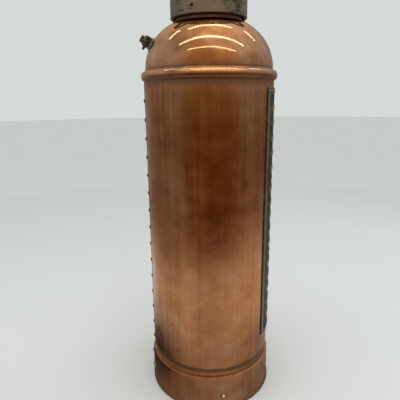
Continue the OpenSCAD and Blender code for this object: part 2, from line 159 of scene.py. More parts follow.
class Tree:
    """A material's node tree, built by expressions."""

    def __init__(self, name: str) -> None:
        """Starts an empty material of that name."""
        self.material = bpy.data.materials.new(name)
        self.material.use_nodes = True
        self.nodes = self.material.node_tree.nodes
        self.links = self.material.node_tree.links
        self.nodes.clear()
        self.place = self.node("ShaderNodeTexCoord", output="Object")

    def feed(self, socket: bpy.types.NodeSocket, value: object) -> None:
        """Links a Field to a socket, or sets a constant on it."""
        if isinstance(value, Field):
            self.links.new(value.socket, socket)
        elif isinstance(value, tuple) and socket.type == "RGBA":
            socket.default_value = (*value[:3], 1.0)
        else:
            socket.default_value = value

    def node(self, kind: str, settings: dict | None = None, inputs: dict | None = None,
             output: int | str = 0) -> Field:
        """Adds one node of any type.

        Args:
            kind: the node's type name.
            settings: attributes set first; "stops" holds a colour ramp's (place, colour) pairs.
            inputs: value or Field for each input, by name or number.
            output: name or number of the output that is wanted.

        Returns:
            That output as a Field.
        """
        made = self.nodes.new(kind)
        for key, value in (settings or {}).items():
            if key == "stops":
                ramp = made.color_ramp
                while len(ramp.elements) < len(value):
                    ramp.elements.new(1.0)
                for element, (place, colour) in zip(ramp.elements, value):
                    element.position = place
                    element.color = (*colour, 1.0)
            else:
                setattr(made, key, value)
        for key, value in (inputs or {}).items():
            self.feed(made.inputs[key], value)
        return Field(self, made.outputs[output])

    def axes(self) -> tuple[Field, Field, Field]:
        """The three object coordinates, in metres."""
        split = self.node("ShaderNodeSeparateXYZ", inputs={0: self.place}).socket.node
        return tuple(Field(self, split.outputs[i]) for i in range(3))

    def noise(self, scale: float, stretch: Colour = (1.0, 1.0, 1.0), detail: float = 3.0,
              shift: float = 0.0, rough: float = 0.55) -> Field:
        """Soft noise from about 0.3 to 0.7, with scale features to a metre, drawn out by stretch."""
        where = self.place * tuple(scale * s for s in stretch) + (shift, shift * 0.7, shift * 1.3)
        return self.node("ShaderNodeTexNoise", {"noise_dimensions": "3D"},
                         {"Vector": where, "Scale": 1.0, "Detail": detail, "Roughness": rough})

    def spots(self, scale: float, low: float, high: float, share: float, shift: float = 0.0) -> Field:
        """Small round spots, one at most in each cell.

        Args:
            scale: cells to a metre.
            low: radius, as a share of a cell, inside which a spot is full.
            high: radius at which it ends.
            share: share of the cells that hold a spot.
            shift: moves the pattern.

        Returns:
            1 in a spot and 0 outside.
        """
        where = self.place * (scale, scale, scale) + (shift, shift, shift)
        cell = {"voronoi_dimensions": "3D", "feature": "F1"}
        gap = self.node("ShaderNodeTexVoronoi", cell, {"Vector": where, "Scale": 1.0}, "Distance")
        pick = self.node("ShaderNodeTexVoronoi", cell, {"Vector": where, "Scale": 1.0}, "Color")
        chance = self.node("ShaderNodeSeparateColor", inputs={0: pick}).step(share + 0.02, share - 0.02)
        return gap.step(high, low) * chance

    def ramp(self, value: Field, *stops: tuple[float, Colour]) -> Field:
        """Colours laid along a value."""
        return self.node("ShaderNodeValToRGB", {"stops": stops}, {0: value})

    def blend(self, mask: Field | float, under: Field | Colour, over: Field | Colour) -> Field:
        """Colour mix: under where the mask is 0, over where it is 1."""
        return self.node("ShaderNodeMix", {"data_type": "RGBA"}, {0: mask, 6: under, 7: over}, 2)

    def bumps(self, *layers: tuple[Field, float, float]) -> Field:
        """Chained bumps.

        Args:
            layers: (height from 0 to 1, depth in metres, strength) for each, the coarsest first.

        Returns:
            The normal.
        """
        normal = None
        for height, depth, strength in layers:
            inputs = {"Height": height, "Distance": depth, "Strength": strength}
            if normal is not None:
                inputs["Normal"] = normal
            normal = self.node("ShaderNodeBump", None, inputs)
        return normal

    def surface(self, **sockets: object) -> bpy.types.Material:
        """Ends the tree with a Principled shader; underscores in a name stand for spaces.

        Args:
            sockets: value or Field for each of the shader's inputs.

        Returns:
            The finished material.
        """
        inputs = {key.replace("_", " "): value for key, value in sockets.items()}
        return self.finish(self.node("ShaderNodeBsdfPrincipled", None, inputs))

    def finish(self, shader: Field) -> bpy.types.Material:
        """Ends the tree with a shader."""
        out = self.nodes.new("ShaderNodeOutputMaterial")
        self.links.new(shader.socket, out.inputs["Surface"])
        return self.material


# ---------------------------------------------------------------- finishes


class CopperPart(Enum):
    """Which copper part a finish is for."""

    SIDE = "copper_side"
    HEAD = "copper_head"
    BOTTOM = "copper_bottom"
    RIVET = "copper_rivet"


@dataclass(frozen=True)
class CopperFinish:
    """Old polished copper, browned in streaks and clouds, with stains, scratches, grime, painted shade and a painted
    highlight.

    groove_z, bead_z and the rivets' places are in metres.
    """

    part: CopperPart
    brown: Colour = (0.41, 0.150, 0.062)
    warm: Colour = (0.52, 0.212, 0.092)
    bright: Colour = (0.605, 0.262, 0.120)
    # The worn colour also paints a highlight, in patches, on the upper shoulder of the head's bead.
    worn: Colour = (0.70, 0.345, 0.178)
    # The stain and grime colours also paint shade: the rivet heads are coloured from them, and the grime colour darkens
    # the copper in the groove, under the bead and round the neck.
    stain_and_shade: Colour = (0.24, 0.085, 0.034)
    grime_and_shade: Colour = (0.060, 0.023, 0.008)
    groove_z: float = 0.0605
    bead_z: float = 0.4659
    rivet_z: float = 0.0134
    rivet_pitch: float = 0.0263
    foot_rivet_z: float = 0.0200

    def material(self) -> bpy.types.Material:
        """Builds the finish for its part."""
        tree = Tree(self.part.value)
        x, y, z = tree.axes()
        cloud = tree.noise(13, detail=4, shift=3.1)
        blotch = tree.noise(46, detail=3, shift=8.4)
        streak = tree.noise(210, stretch=(1, 1, 0.016), detail=3, shift=1.7)
        hair = tree.noise(1300, stretch=(1, 1, 0.012), detail=2, shift=5.2)
        fine = tree.noise(330, detail=3, shift=2.2)
        side = self.part is CopperPart.SIDE
        if side:
            tone = (cloud * 0.50 + blotch * 0.30 + streak * 0.22 + fine * 0.12).step(0.40, 0.72)
        elif self.part is CopperPart.HEAD:
            tone = (cloud * 0.50 + blotch * 0.50).step(0.36, 0.66)
        else:
            tone = (cloud * 0.50 + blotch * 0.22 + fine * 0.28).step(0.36, 0.68)
        colour = tree.ramp(tone, (0.0, self.brown), (0.30, self.warm), (0.70, self.bright), (1.0, self.worn))
        rough = 0.15 + blotch * 0.12 + streak * (0.10 if side else 0.0)
        layers = [(cloud, 0.002, 0.05), (blotch, 0.0006, 0.05)]
        if self.part is CopperPart.RIVET:
            # Rivet heads coloured dark brown with near-black patches: painted shade on the heads.
            colour = tree.blend(fine.step(0.40, 0.60) * 0.6, self.stain_and_shade, self.grime_and_shade)
            return tree.surface(Base_Color=colour, Metallic=0.9, Roughness=rough + 0.12,
                                Normal=tree.bumps((fine, 0.0004, 0.35)))
        if side:
            # Painted shade in the groove and over the top of the side, under the bead.
            below = z.near(self.groove_z, 0.0065) + z.step(self.bead_z - 0.024, self.bead_z - 0.0065) * 0.85
            # Darker towards the bottom of the foot band, most at the rolled foot.
            foot = z.step(0.052, 0.030) * 0.35 + z.step(0.010, 0.002) * 0.7
            lap = x.step(-0.06, -0.08) * abs(y).near(0.0086, 0.0016) * 0.8
            local = (z - self.rivet_z + self.rivet_pitch / 2) % self.rivet_pitch - self.rivet_pitch / 2
            apart = ((local * local) + (y * y)) ** 0.5
            ring = apart.near(0.0036, 0.0022) * x.step(-0.06, -0.08)
            around = ((x - 0.0127) * (x - 0.0127) + (z - self.foot_rivet_z) * (z - self.foot_rivet_z)) ** 0.5
            # Darkening mask of the side: painted shade in the groove and under the bead, darker at the foot, along the
            # lap's edges and round the seam rivets, and a stain round the front foot rivet.
            dirt_and_shade = (below + foot + lap + ring).least(1.0) * (0.45 + blotch).least(1.0)
            dirt_and_shade = dirt_and_shade.most(around.step(0.0062, 0.0040) * y.step(-0.08, -0.09))
            line = hair.step(0.66, 0.72) * streak.step(0.50, 0.60)
            colour = tree.blend(line * 0.35, colour, self.worn)
            rough = rough + line * 0.10 + foot * 0.1
            layers += [(streak, 0.0006, 0.10), (hair, 0.0002, 0.08)]
        elif self.part is CopperPart.HEAD:
            reach = ((x * x) + (y * y)) ** 0.5
            # Painted shade on the underside of the bead.
            low = z.step(self.bead_z - 0.0008, self.bead_z - 0.0050) * reach.step(0.0875, 0.0890) * 1.4
            # Darker in a band where the dome rises from the bead.
            seat = z.near(self.bead_z + 0.0085, 0.0035) * 0.8
            # Painted shade on the dome round the neck, under the cap's skirt.
            collar = reach.step(0.0465, 0.0445) * 0.5
            boss_x, boss_z = x + 0.0765, z - 0.5075
            round_boss = ((boss_x * boss_x) + (y * y) + (boss_z * boss_z)) ** 0.5
            spread = round_boss + blotch * 0.016
            # Darkening mask of the head: painted shade under the bead and round the neck, a darker band above the bead
            # and a dark patch round the outlet boss.
            dirt_and_shade = (low + seat + collar + spread.step(0.034, 0.018) * 0.8).least(1.0)
            # Painted highlight: the upper shoulder of the bead lightened towards the worn colour, in patches.
            ridge = (z - self.bead_z).near(0.0052, 0.0026) * reach.step(0.0865, 0.0885)
            colour = tree.blend(ridge * (0.2 + blotch * 0.9).least(1.0), colour, self.worn)
            rough = rough - 0.11
            layers = [(cloud, 0.002, 0.02)]
        else:
            dirt_and_shade = (cloud + blotch * 0.6).step(0.55, 0.95)
            rough = rough + 0.15
        stains = (tree.spots(52, 0.05, 0.13, 0.32) + tree.spots(130, 0.03, 0.14, 0.14, 4.0)).least(1.0)
        flecks = tree.spots(75, 0.010, 0.030, 0.16, 9.0)
        colour = tree.blend(stains * 0.7, colour, self.stain_and_shade)
        # Darkened towards the grime colour by the mask: grime, and on the side and head also painted shade.
        colour = tree.blend(dirt_and_shade * 0.82, colour, self.grime_and_shade)
        colour = tree.blend(flecks * 0.8, colour, (0.92, 0.78, 0.62))
        layers += [(1.0 - stains, 0.0002, 0.3), (fine, 0.0001, 0.04)]
        rough = (rough + stains * 0.12 + dirt_and_shade * 0.22 + flecks * 0.2).least(0.85)
        return tree.surface(Base_Color=colour, Metallic=1.0 - dirt_and_shade * 0.35, Roughness=rough,
                            Normal=tree.bumps(*layers))


@dataclass(frozen=True)
class BrassFinish:
    """Old brass toned in patches of brown, pink and green, with dark pores and rubbed edges."""

    name: str
    base: Colour = (0.205, 0.142, 0.092)
    dark: Colour = (0.055, 0.035, 0.021)
    pink: Colour = (0.265, 0.175, 0.125)
    green: Colour = (0.230, 0.190, 0.088)
    rubbed: Colour = (0.52, 0.44, 0.30)
    rough: float = 0.42
    metal: float = 0.75
    grain: float = 0.0005
    scale: float = 1.0

    def material(self) -> bpy.types.Material:
        """Builds the finish."""
        tree = Tree(self.name)
        cloud = tree.noise(34 * self.scale, detail=4, shift=6.0)
        patch = tree.noise(70 * self.scale, stretch=(1, 1, 2.4), detail=4, shift=2.5)
        fine = tree.noise(520 * self.scale, detail=3, shift=7.7)
        scrape = tree.noise(90 * self.scale, stretch=(1, 1, 14), detail=3, shift=4.4)
        pores = tree.spots(260 * self.scale, 0.04, 0.20, 0.20, 3.0)
        colour = tree.ramp(cloud.step(0.33, 0.67), (0.0, self.dark), (0.38, self.base), (1.0, self.pink))
        colour = tree.blend(patch.step(0.52, 0.64) * 0.75, colour, self.green)
        colour = tree.blend(patch.step(0.43, 0.34) * 0.70, colour, self.dark)
        colour = tree.blend(scrape.step(0.60, 0.70) * 0.35, colour, self.rubbed)
        colour = tree.blend(pores * 0.8, colour, self.dark)
        rough = (self.rough + patch * 0.22 + pores * 0.15 - scrape.step(0.60, 0.70) * 0.12).least(0.9)
        normal = tree.bumps((cloud, 0.0016, 0.22), (scrape, 0.0004, 0.22),
                            (1.0 - pores, 0.0004, 0.5), (fine, self.grain, 0.25))
        return tree.surface(Base_Color=colour, Metallic=self.metal, Roughness=rough, Normal=normal)


@dataclass(frozen=True)
class PlateFinish:
    """Stamped brass plate: grey-green, dark in its hollows and rubbed on its raised work.

    The mesh's relief attribute is 0 on the ground of the plate and 1 on top of the raised work.
    """

    name: str = "plate_brass"
    hollow: Colour = (0.060, 0.043, 0.022)
    ground: Colour = (0.190, 0.150, 0.088)
    raised: Colour = (0.460, 0.395, 0.285)
    verdigris: Colour = (0.190, 0.190, 0.120)

    def material(self) -> bpy.types.Material:
        """Builds the finish."""
        tree = Tree(self.name)
        relief = tree.node("ShaderNodeAttribute", {"attribute_name": "relief"}, output="Fac")
        cloud = tree.noise(30, detail=4, shift=1.0)
        fine = tree.noise(420, detail=3, shift=5.0)
        patch = tree.noise(85, detail=4, shift=9.0)
        colour = tree.blend(relief.step(0.05, 0.5), self.hollow, self.ground)
        colour = tree.blend(relief.step(0.60, 0.98) * (0.35 + patch).least(1.0), colour, self.raised)
        colour = tree.blend(patch.step(0.54, 0.68) * 0.6, colour, self.verdigris)
        colour = tree.blend(cloud.step(0.50, 0.30) * 0.5, colour, self.hollow)
        rough = (0.38 + patch * 0.25 + fine * 0.12 - relief * 0.10).least(0.85)
        return tree.surface(Base_Color=colour, Metallic=0.8, Roughness=rough,
                            Normal=tree.bumps((patch, 0.0006, 0.3), (fine, 0.0003, 0.4)))


class DullKind(Enum):
    """The plainer materials of the small parts."""

    SOLDER = "soft_solder"
    COPPERY = "coppery_solder"
    IRON = "iron_wire"
    LEAD = "lead"
    RUBBER = "black_rubber"
    LEATHER = "leather"


@dataclass(frozen=True)
class DullFinish:
    """A matt material with two tones, grain and pits."""

    kind: DullKind
    light: Colour
    dark: Colour
    metal: float
    rough: float
    scale: float = 1.0
    depth: float = 0.0006

    def material(self) -> bpy.types.Material:
        """Builds the finish."""
        tree = Tree(self.kind.value)
        cloud = tree.noise(60 * self.scale, detail=4, shift=2.0)
        fine = tree.noise(600 * self.scale, detail=4, shift=4.0)
        pits = tree.spots(330 * self.scale, 0.05, 0.24, 0.30)
        tone = (cloud * 0.65 + fine * 0.35).step(0.36, 0.62)
        colour = tree.blend(pits * 0.6, tree.blend(tone, self.dark, self.light), self.dark)
        normal = tree.bumps((cloud, self.depth * 2, 0.3), (1.0 - pits, self.depth, 0.4), (fine, self.depth, 0.35))
        return tree.surface(Base_Color=colour, Metallic=self.metal, Normal=normal,
                            Roughness=(self.rough + fine * 0.2 + pits * 0.1).least(0.95))


@dataclass(frozen=True)
class GlassFinish:
    """Pale green pressed glass with faint waves and seeds."""

    tint: Colour = (0.80, 0.93, 0.87)

    def material(self) -> bpy.types.Material:
        """Builds the finish."""
        tree = Tree("bottle_glass")
        wave = tree.noise(55, stretch=(1, 1, 0.5), detail=2)
        seeds = tree.spots(240, 0.05, 0.16, 0.12)
        haze = tree.noise(30, detail=4, shift=5.0).step(0.45, 0.75)
        return tree.surface(Base_Color=tree.blend(haze * 0.4, self.tint, (0.72, 0.82, 0.74)),
                            Roughness=0.04 + haze * 0.10 + seeds * 0.1, Transmission_Weight=0.92, IOR=1.5,
                            Normal=tree.bumps((wave, 0.0015, 0.25), (seeds, 0.0004, 0.4)))


class Palette:
    """The finished materials, each made once."""

    def __init__(self) -> None:
        """Builds every finish."""
        self.side = CopperFinish(CopperPart.SIDE).material()
        self.head = CopperFinish(CopperPart.HEAD).material()
        self.bottom = CopperFinish(CopperPart.BOTTOM).material()
        self.rivet = CopperFinish(CopperPart.RIVET).material()
        self.cap = BrassFinish("toned_brass").material()
        self.neck = BrassFinish("shaded_brass", base=(0.085, 0.055, 0.032), dark=(0.030, 0.018, 0.010),
                                pink=(0.11, 0.06, 0.035), green=(0.08, 0.065, 0.03),
                                rubbed=(0.22, 0.16, 0.09), rough=0.5).material()
        self.fitting = BrassFinish("dark_brass", base=(0.13, 0.095, 0.058), dark=(0.030, 0.022, 0.014),
                                   pink=(0.20, 0.14, 0.09), green=(0.19, 0.155, 0.07),
                                   rough=0.36, metal=0.85, scale=2.0, grain=0.0003).material()
        self.bush = BrassFinish("boss_brass", base=(0.30, 0.215, 0.11), dark=(0.08, 0.055, 0.028),
                                pink=(0.40, 0.29, 0.17), green=(0.36, 0.29, 0.12),
                                rough=0.34, metal=0.85, scale=2.0, grain=0.0003).material()
        self.cage = BrassFinish("cage_brass", base=(0.42, 0.30, 0.13), dark=(0.19, 0.125, 0.055),
                                pink=(0.50, 0.35, 0.17), green=(0.37, 0.32, 0.12), rubbed=(0.72, 0.58, 0.33),
                                rough=0.28, metal=0.95, grain=0.0002).material()
        self.foot_rivet = BrassFinish("foot_rivet_brass", base=(0.80, 0.60, 0.42), dark=(0.40, 0.25, 0.15),
                                      pink=(0.90, 0.68, 0.52), green=(0.75, 0.56, 0.34),
                                      rubbed=(0.95, 0.85, 0.72), rough=0.25, metal=0.9, scale=3.0).material()
        self.plate = PlateFinish().material()
        self.solder = DullFinish(DullKind.SOLDER, (0.30, 0.27, 0.22), (0.12, 0.10, 0.075), 0.8, 0.45).material()
        self.coppery_solder = DullFinish(DullKind.COPPERY, (0.50, 0.26, 0.13), (0.30, 0.14, 0.065),
                                         0.6, 0.25, depth=0.0002).material()
        self.iron = DullFinish(DullKind.IRON, (0.16, 0.13, 0.11), (0.07, 0.045, 0.035), 0.7, 0.55).material()
        self.lead = DullFinish(DullKind.LEAD, (0.26, 0.26, 0.27), (0.13, 0.13, 0.135), 0.7, 0.50).material()
        self.rubber = DullFinish(DullKind.RUBBER, (0.035, 0.034, 0.033), (0.018, 0.017, 0.016), 0.0, 0.62,
                                 depth=0.0003).material()
        self.leather = DullFinish(DullKind.LEATHER, (0.20, 0.115, 0.06), (0.07, 0.038, 0.02), 0.0, 0.62,
                                  scale=2.0, depth=0.0003).material()
        self.glass = GlassFinish().material()


# ---------------------------------------------------------------- surfaces


@dataclass
class Surface:
    """Points in millimetres and faces of closed shapes, with an optional mark for each point."""

    points: Array
    faces: list[Array]
    mark: Array | None = None

    def __add__(self, other: "Surface") -> "Surface":
        """Both shapes as one."""
        shift = len(self.points)
        return Surface(np.vstack((self.points, other.points)), self.faces + [f + shift for f in other.faces])

    def placed(self, origin: Sequence[float], x: Sequence[float], y: Sequence[float],
               z: Sequence[float]) -> "Surface":
        """The shape moved so that its axes lie along x, y and z from origin."""
        return Surface(self.points @ np.array([x, y, z], float) + np.array(origin, float), self.faces, self.mark)

    def turned(self, azimuth: float) -> "Surface":
        """The shape turned about Z by an angle in radians."""
        c, s = math.cos(azimuth), math.sin(azimuth)
        return self.placed((0, 0, 0), (c, s, 0), (-s, c, 0), (0, 0, 1))

    def repeated(self, origins: Array, x: Array, y: Array, z: Array) -> "Surface":
        """One copy for each row of origins, with its own axes."""
        axes = np.stack((x, y, z), 1)
        points = np.einsum("pk,nkj->npj", self.points, axes) + origins[:, None, :]
        count = len(self.points)
        shift = np.arange(len(origins))[:, None, None] * count
        return Surface(points.reshape(-1, 3), [(f[None] + shift).reshape(-1, f.shape[1]) for f in self.faces])

    def make(self, name: str, material: bpy.types.Material, sharp: float = 38.0) -> bpy.types.Object:
        """Puts the shape into a smooth-shaded mesh object at the origin.

        Args:
            name: the object's name.
            material: its finish.
            sharp: angle in degrees past which an edge is shaded sharp.

        Returns:
            The object, linked to the scene.
        """
        mesh = bpy.data.meshes.new(name)
        sizes = np.concatenate([np.full(len(f), f.shape[1]) for f in self.faces])
        corners = np.concatenate([f.ravel() for f in self.faces])
        mesh.vertices.add(len(self.points))
        mesh.vertices.foreach_set("co", (self.points * MM).astype(np.float32).ravel())
        mesh.loops.add(len(corners))
        mesh.loops.foreach_set("vertex_index", corners.astype(np.int32))
        mesh.polygons.add(len(sizes))
        mesh.polygons.foreach_set("loop_start", (np.cumsum(sizes) - sizes).astype(np.int32))
        mesh.polygons.foreach_set("use_smooth", np.ones(len(sizes), bool))
        mesh.update(calc_edges=True)
        if self.mark is not None:
            mesh.attributes.new("relief", "FLOAT", "POINT").data.foreach_set("value", self.mark.astype(np.float32))
        mesh.set_sharp_from_angle(angle=math.radians(sharp))
        mesh.materials.append(material)
        made = bpy.data.objects.new(name, mesh)
        bpy.context.scene.collection.objects.link(made)
        return made


def even_turn(steps: int) -> Array:
    """Azimuths spread evenly round a full turn."""
    return np.arange(steps) * FULL_TURN / steps


def finer_turn(steps: int, places: Sequence[float], reach: float, extra: int) -> Array:
    """Even azimuths with more of them near some places.

    Args:
        steps: number of even azimuths.
        places: azimuths in radians to refine round.
        reach: half of the refined angle, in radians.
        extra: number of azimuths added at each place.

    Returns:
        The sorted azimuths, none of them doubled.
    """
    added = (np.array(places)[:, None] + np.linspace(-reach, reach, extra)[None]).ravel() % FULL_TURN
    every = np.sort(np.concatenate((even_turn(steps), added)))
    keep = np.concatenate(([True], np.diff(every) > FULL_TURN / steps * 0.04))
    return every[keep]


def rounded(corners: Sequence[tuple[float, ...]], closed: bool, steps: int = 4) -> Array:
    """Outline whose corners are cut by smooth curves.

    Each corner (r, z, cut) becomes the quadratic curve (1-s)^2 a + 2s(1-s) c + s^2 b, where a and b
    lie on its two sides, a distance of cut from the corner c.

    Args:
        corners: (r, z, cut) for each corner.
        closed: True if the last corner joins the first.
        steps: points to a curve.

    Returns:
        The points of the outline.
    """
    rows = np.array(corners, float)
    here, cut = rows[:, :2], rows[:, 2:3]
    back, ahead = np.roll(here, 1, 0) - here, np.roll(here, -1, 0) - here
    back_len, ahead_len = (np.maximum(np.linalg.norm(v, axis=1, keepdims=True), POLE) for v in (back, ahead))
    cut = np.minimum(cut, 0.48 * np.minimum(back_len, ahead_len))
    start, end = here + back * cut / back_len, here + ahead * cut / ahead_len
    s = np.linspace(0, 1, steps)[None, :, None]
    curve = (1 - s) ** 2 * start[:, None] + 2 * s * (1 - s) * here[:, None] + s ** 2 * end[:, None]
    if not closed:
        return np.vstack((here[:1], curve[1:-1].reshape(-1, 2), here[-1:]))
    points = curve.reshape(-1, 2)
    return points[np.linalg.norm(points - np.roll(points, 1, 0), axis=1) > POLE]


def spaced(outline: Array, step: float, closed: bool) -> Array:
    """The same outline with its long sides cut into parts no longer than step."""
    ahead = np.roll(outline, -1, 0) if closed else outline[1:]
    start = outline if closed else outline[:-1]
    length = np.linalg.norm((ahead - start)[:, :2], axis=1)
    parts = np.maximum(np.ceil(length / step).astype(int), 1)
    which = np.repeat(np.arange(len(parts)), parts)
    first = np.cumsum(parts) - parts
    share = ((np.arange(len(which)) - first[which]) / parts[which])[:, None]
    made = start[which] + (ahead - start)[which] * share
    return made if closed else np.vstack((made, outline[-1:]))


def revolved(profile: Array, azimuth: Array, warp: Warp | None = None) -> Surface:
    """Turns a profile about Z.

    A point is (r cos a, r sin a, z), where (r, z) runs along the profile, counter-clockwise round
    the solid part, and a is the azimuth. The warp first adds its own shift to r and z. A profile
    that starts and ends on the axis closes at two poles; any other one closes on itself.

    Args:
        profile: rows of (r, z) or (r, z, tag).
        azimuth: sorted azimuths.
        warp: function of (a, r, z, tag) that gives the shifts of r and z.

    Returns:
        The closed surface.
    """
    poles = profile[0, 0] < POLE
    rows = profile[1:-1] if poles else profile
    tag = rows[:, 2] if profile.shape[1] > 2 else np.ones(len(rows))
    a, r = np.meshgrid(azimuth, rows[:, 0], indexing="ij")
    z, tags = np.broadcast_to(rows[:, 1], a.shape), np.broadcast_to(tag, a.shape)
    if warp is not None:
        shift_r, shift_z = warp(a, r, z, tags)
        r, z = r + shift_r, z + shift_z
    points = np.stack((r * np.cos(a), r * np.sin(a), z), -1).reshape(-1, 3)
    index = np.arange(a.size).reshape(a.shape)
    beside = np.roll(index, -1, 0)
    if not poles:
        above, across = np.roll(index, -1, 1), np.roll(beside, -1, 1)
        return Surface(points, [np.stack((index, beside, across, above), -1).reshape(-1, 4)])
    quads = np.stack((index[:, :-1], beside[:, :-1], beside[:, 1:], index[:, 1:]), -1).reshape(-1, 4)
    low, high = len(points), len(points) + 1
    ends = np.array([[0, 0, profile[0, 1]], [0, 0, profile[-1, 1]]])
    fan_low = np.stack((np.full(len(azimuth), low), beside[:, 0], index[:, 0]), -1)
    fan_high = np.stack((np.full(len(azimuth), high), index[:, -1], beside[:, -1]), -1)
    return Surface(np.vstack((points, ends)), [quads, fan_low, fan_high])


def extruded(outline: Array, z0: float, z1: float, edge: float = 0.0) -> Surface:
    """An outline in XY carried from z0 to z1, its top and bottom edges drawn in by edge.

    A point is centre + (outline - centre) * k(v), at height z(v), where v runs up over a small
    slope, the side and another small slope. The ends are single flat faces.
    """
    centre = outline.mean(0)
    reach = np.linalg.norm(outline - centre, axis=1).mean()
    shrink = 1 - edge / reach
    scale = np.array([shrink, 1.0, 1.0, shrink]) if edge > 0 else np.ones(2)
    height = np.array([z0, z0 + edge, z1 - edge, z1]) if edge > 0 else np.array([z0, z1])
    flat = centre + (outline - centre)[:, None] * scale[None, :, None]
    points = np.dstack((flat, np.broadcast_to(height, flat.shape[:2]))).reshape(-1, 3)
    index = np.arange(len(outline) * len(height)).reshape(len(outline), -1)
    beside = np.roll(index, -1, 0)
    quads = np.stack((index[:, :-1], beside[:, :-1], beside[:, 1:], index[:, 1:]), -1).reshape(-1, 4)
    return Surface(points, [quads, index[::-1, 0][None], index[:, -1][None]])


def waves(a: Array, z: Array, seed: int, count: int, turns: int, pitch: float) -> Array:
    """Smooth unevenness from -1 to 1: the mean of sines of whole turns of a, and of z over pitch.

    Args:
        a: azimuths.
        z: heights.
        seed: picks the sines.
        count: number of sines.
        turns: most whole waves round a turn.
        pitch: shortest wavelength along z.

    Returns:
        The value at each point.
    """
    dice = np.random.default_rng(seed)
    round_it = dice.integers(-turns, turns + 1, count)
    along = dice.uniform(-FULL_TURN / pitch, FULL_TURN / pitch, count)
    phase = dice.uniform(0, FULL_TURN, count)
    total = np.zeros(np.broadcast(a, z).shape)
    for m, k, p in zip(round_it, along, phase):
        total += np.sin(m * a + k * z + p)
    return total / math.sqrt(count * 2)


def thread_depth(a: Array, z: Array, pitch: float, depth: float) -> Array:
    """Depth of a one-start screw thread: a rounded saw over the share z / pitch - a / turn."""
    share = (z / pitch - a / FULL_TURN) % 1.0
    return depth * (0.5 - 0.5 * np.cos(FULL_TURN * share)) ** 0.8


def gap_to(a: Array, middle: float) -> Array:
    """Signed angle from middle to a, from minus half a turn to half a turn."""
    return (a - middle + math.pi) % FULL_TURN - math.pi


def smooth(value: Array, low: float, high: float) -> Array:
    """Smooth step from 0 at low to 1 at high."""
    share = np.clip((value - low) / (high - low), 0, 1)
    return share * share * (3 - 2 * share)


class Fitter:
    """Rides finished pieces on their bodies and reports them."""

    def __init__(self) -> None:
        """Starts with no pieces."""
        self.count = 0

    def fit(self, piece: bpy.types.Object, body: str, slot: str, *nodes: str) -> None:
        """Rides a piece on a body, in place of CAD nodes.

        Args:
            piece: the finished object.
            body: the CAD body that it moves with.
            slot: the record's material slot; not used.
            nodes: CAD nodes that it stands for.
        """
        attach(piece, body)
        if nodes:
            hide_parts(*nodes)
        self.count += 1
        low, high = np.array(piece.bound_box).min(0) / MM, np.array(piece.bound_box).max(0) / MM
        worst = 0.0
        if nodes:
            boxes = [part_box(n) for n in nodes]
            under = np.min([b[0] for b in boxes], 0) / MM
            over = np.max([b[1] for b in boxes], 0) / MM
            worst = float(max((under - low).max(), (high - over).max()))
        log.info("%s on %s: %d faces, %.1f mm past its CAD box", piece.name, body,
                 len(piece.data.polygons), worst)

    def dress(self, node: str, material: bpy.types.Material) -> None:
        """Gives a CAD node that stays shown its finish."""
        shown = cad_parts[node]
        if not shown.material_slots:
            raise ValueError(f"{node} has no material slot")
        for place in shown.material_slots:
            place.material = material
        log.info("%s keeps its CAD shape", node)


# ---------------------------------------------------------------- tank


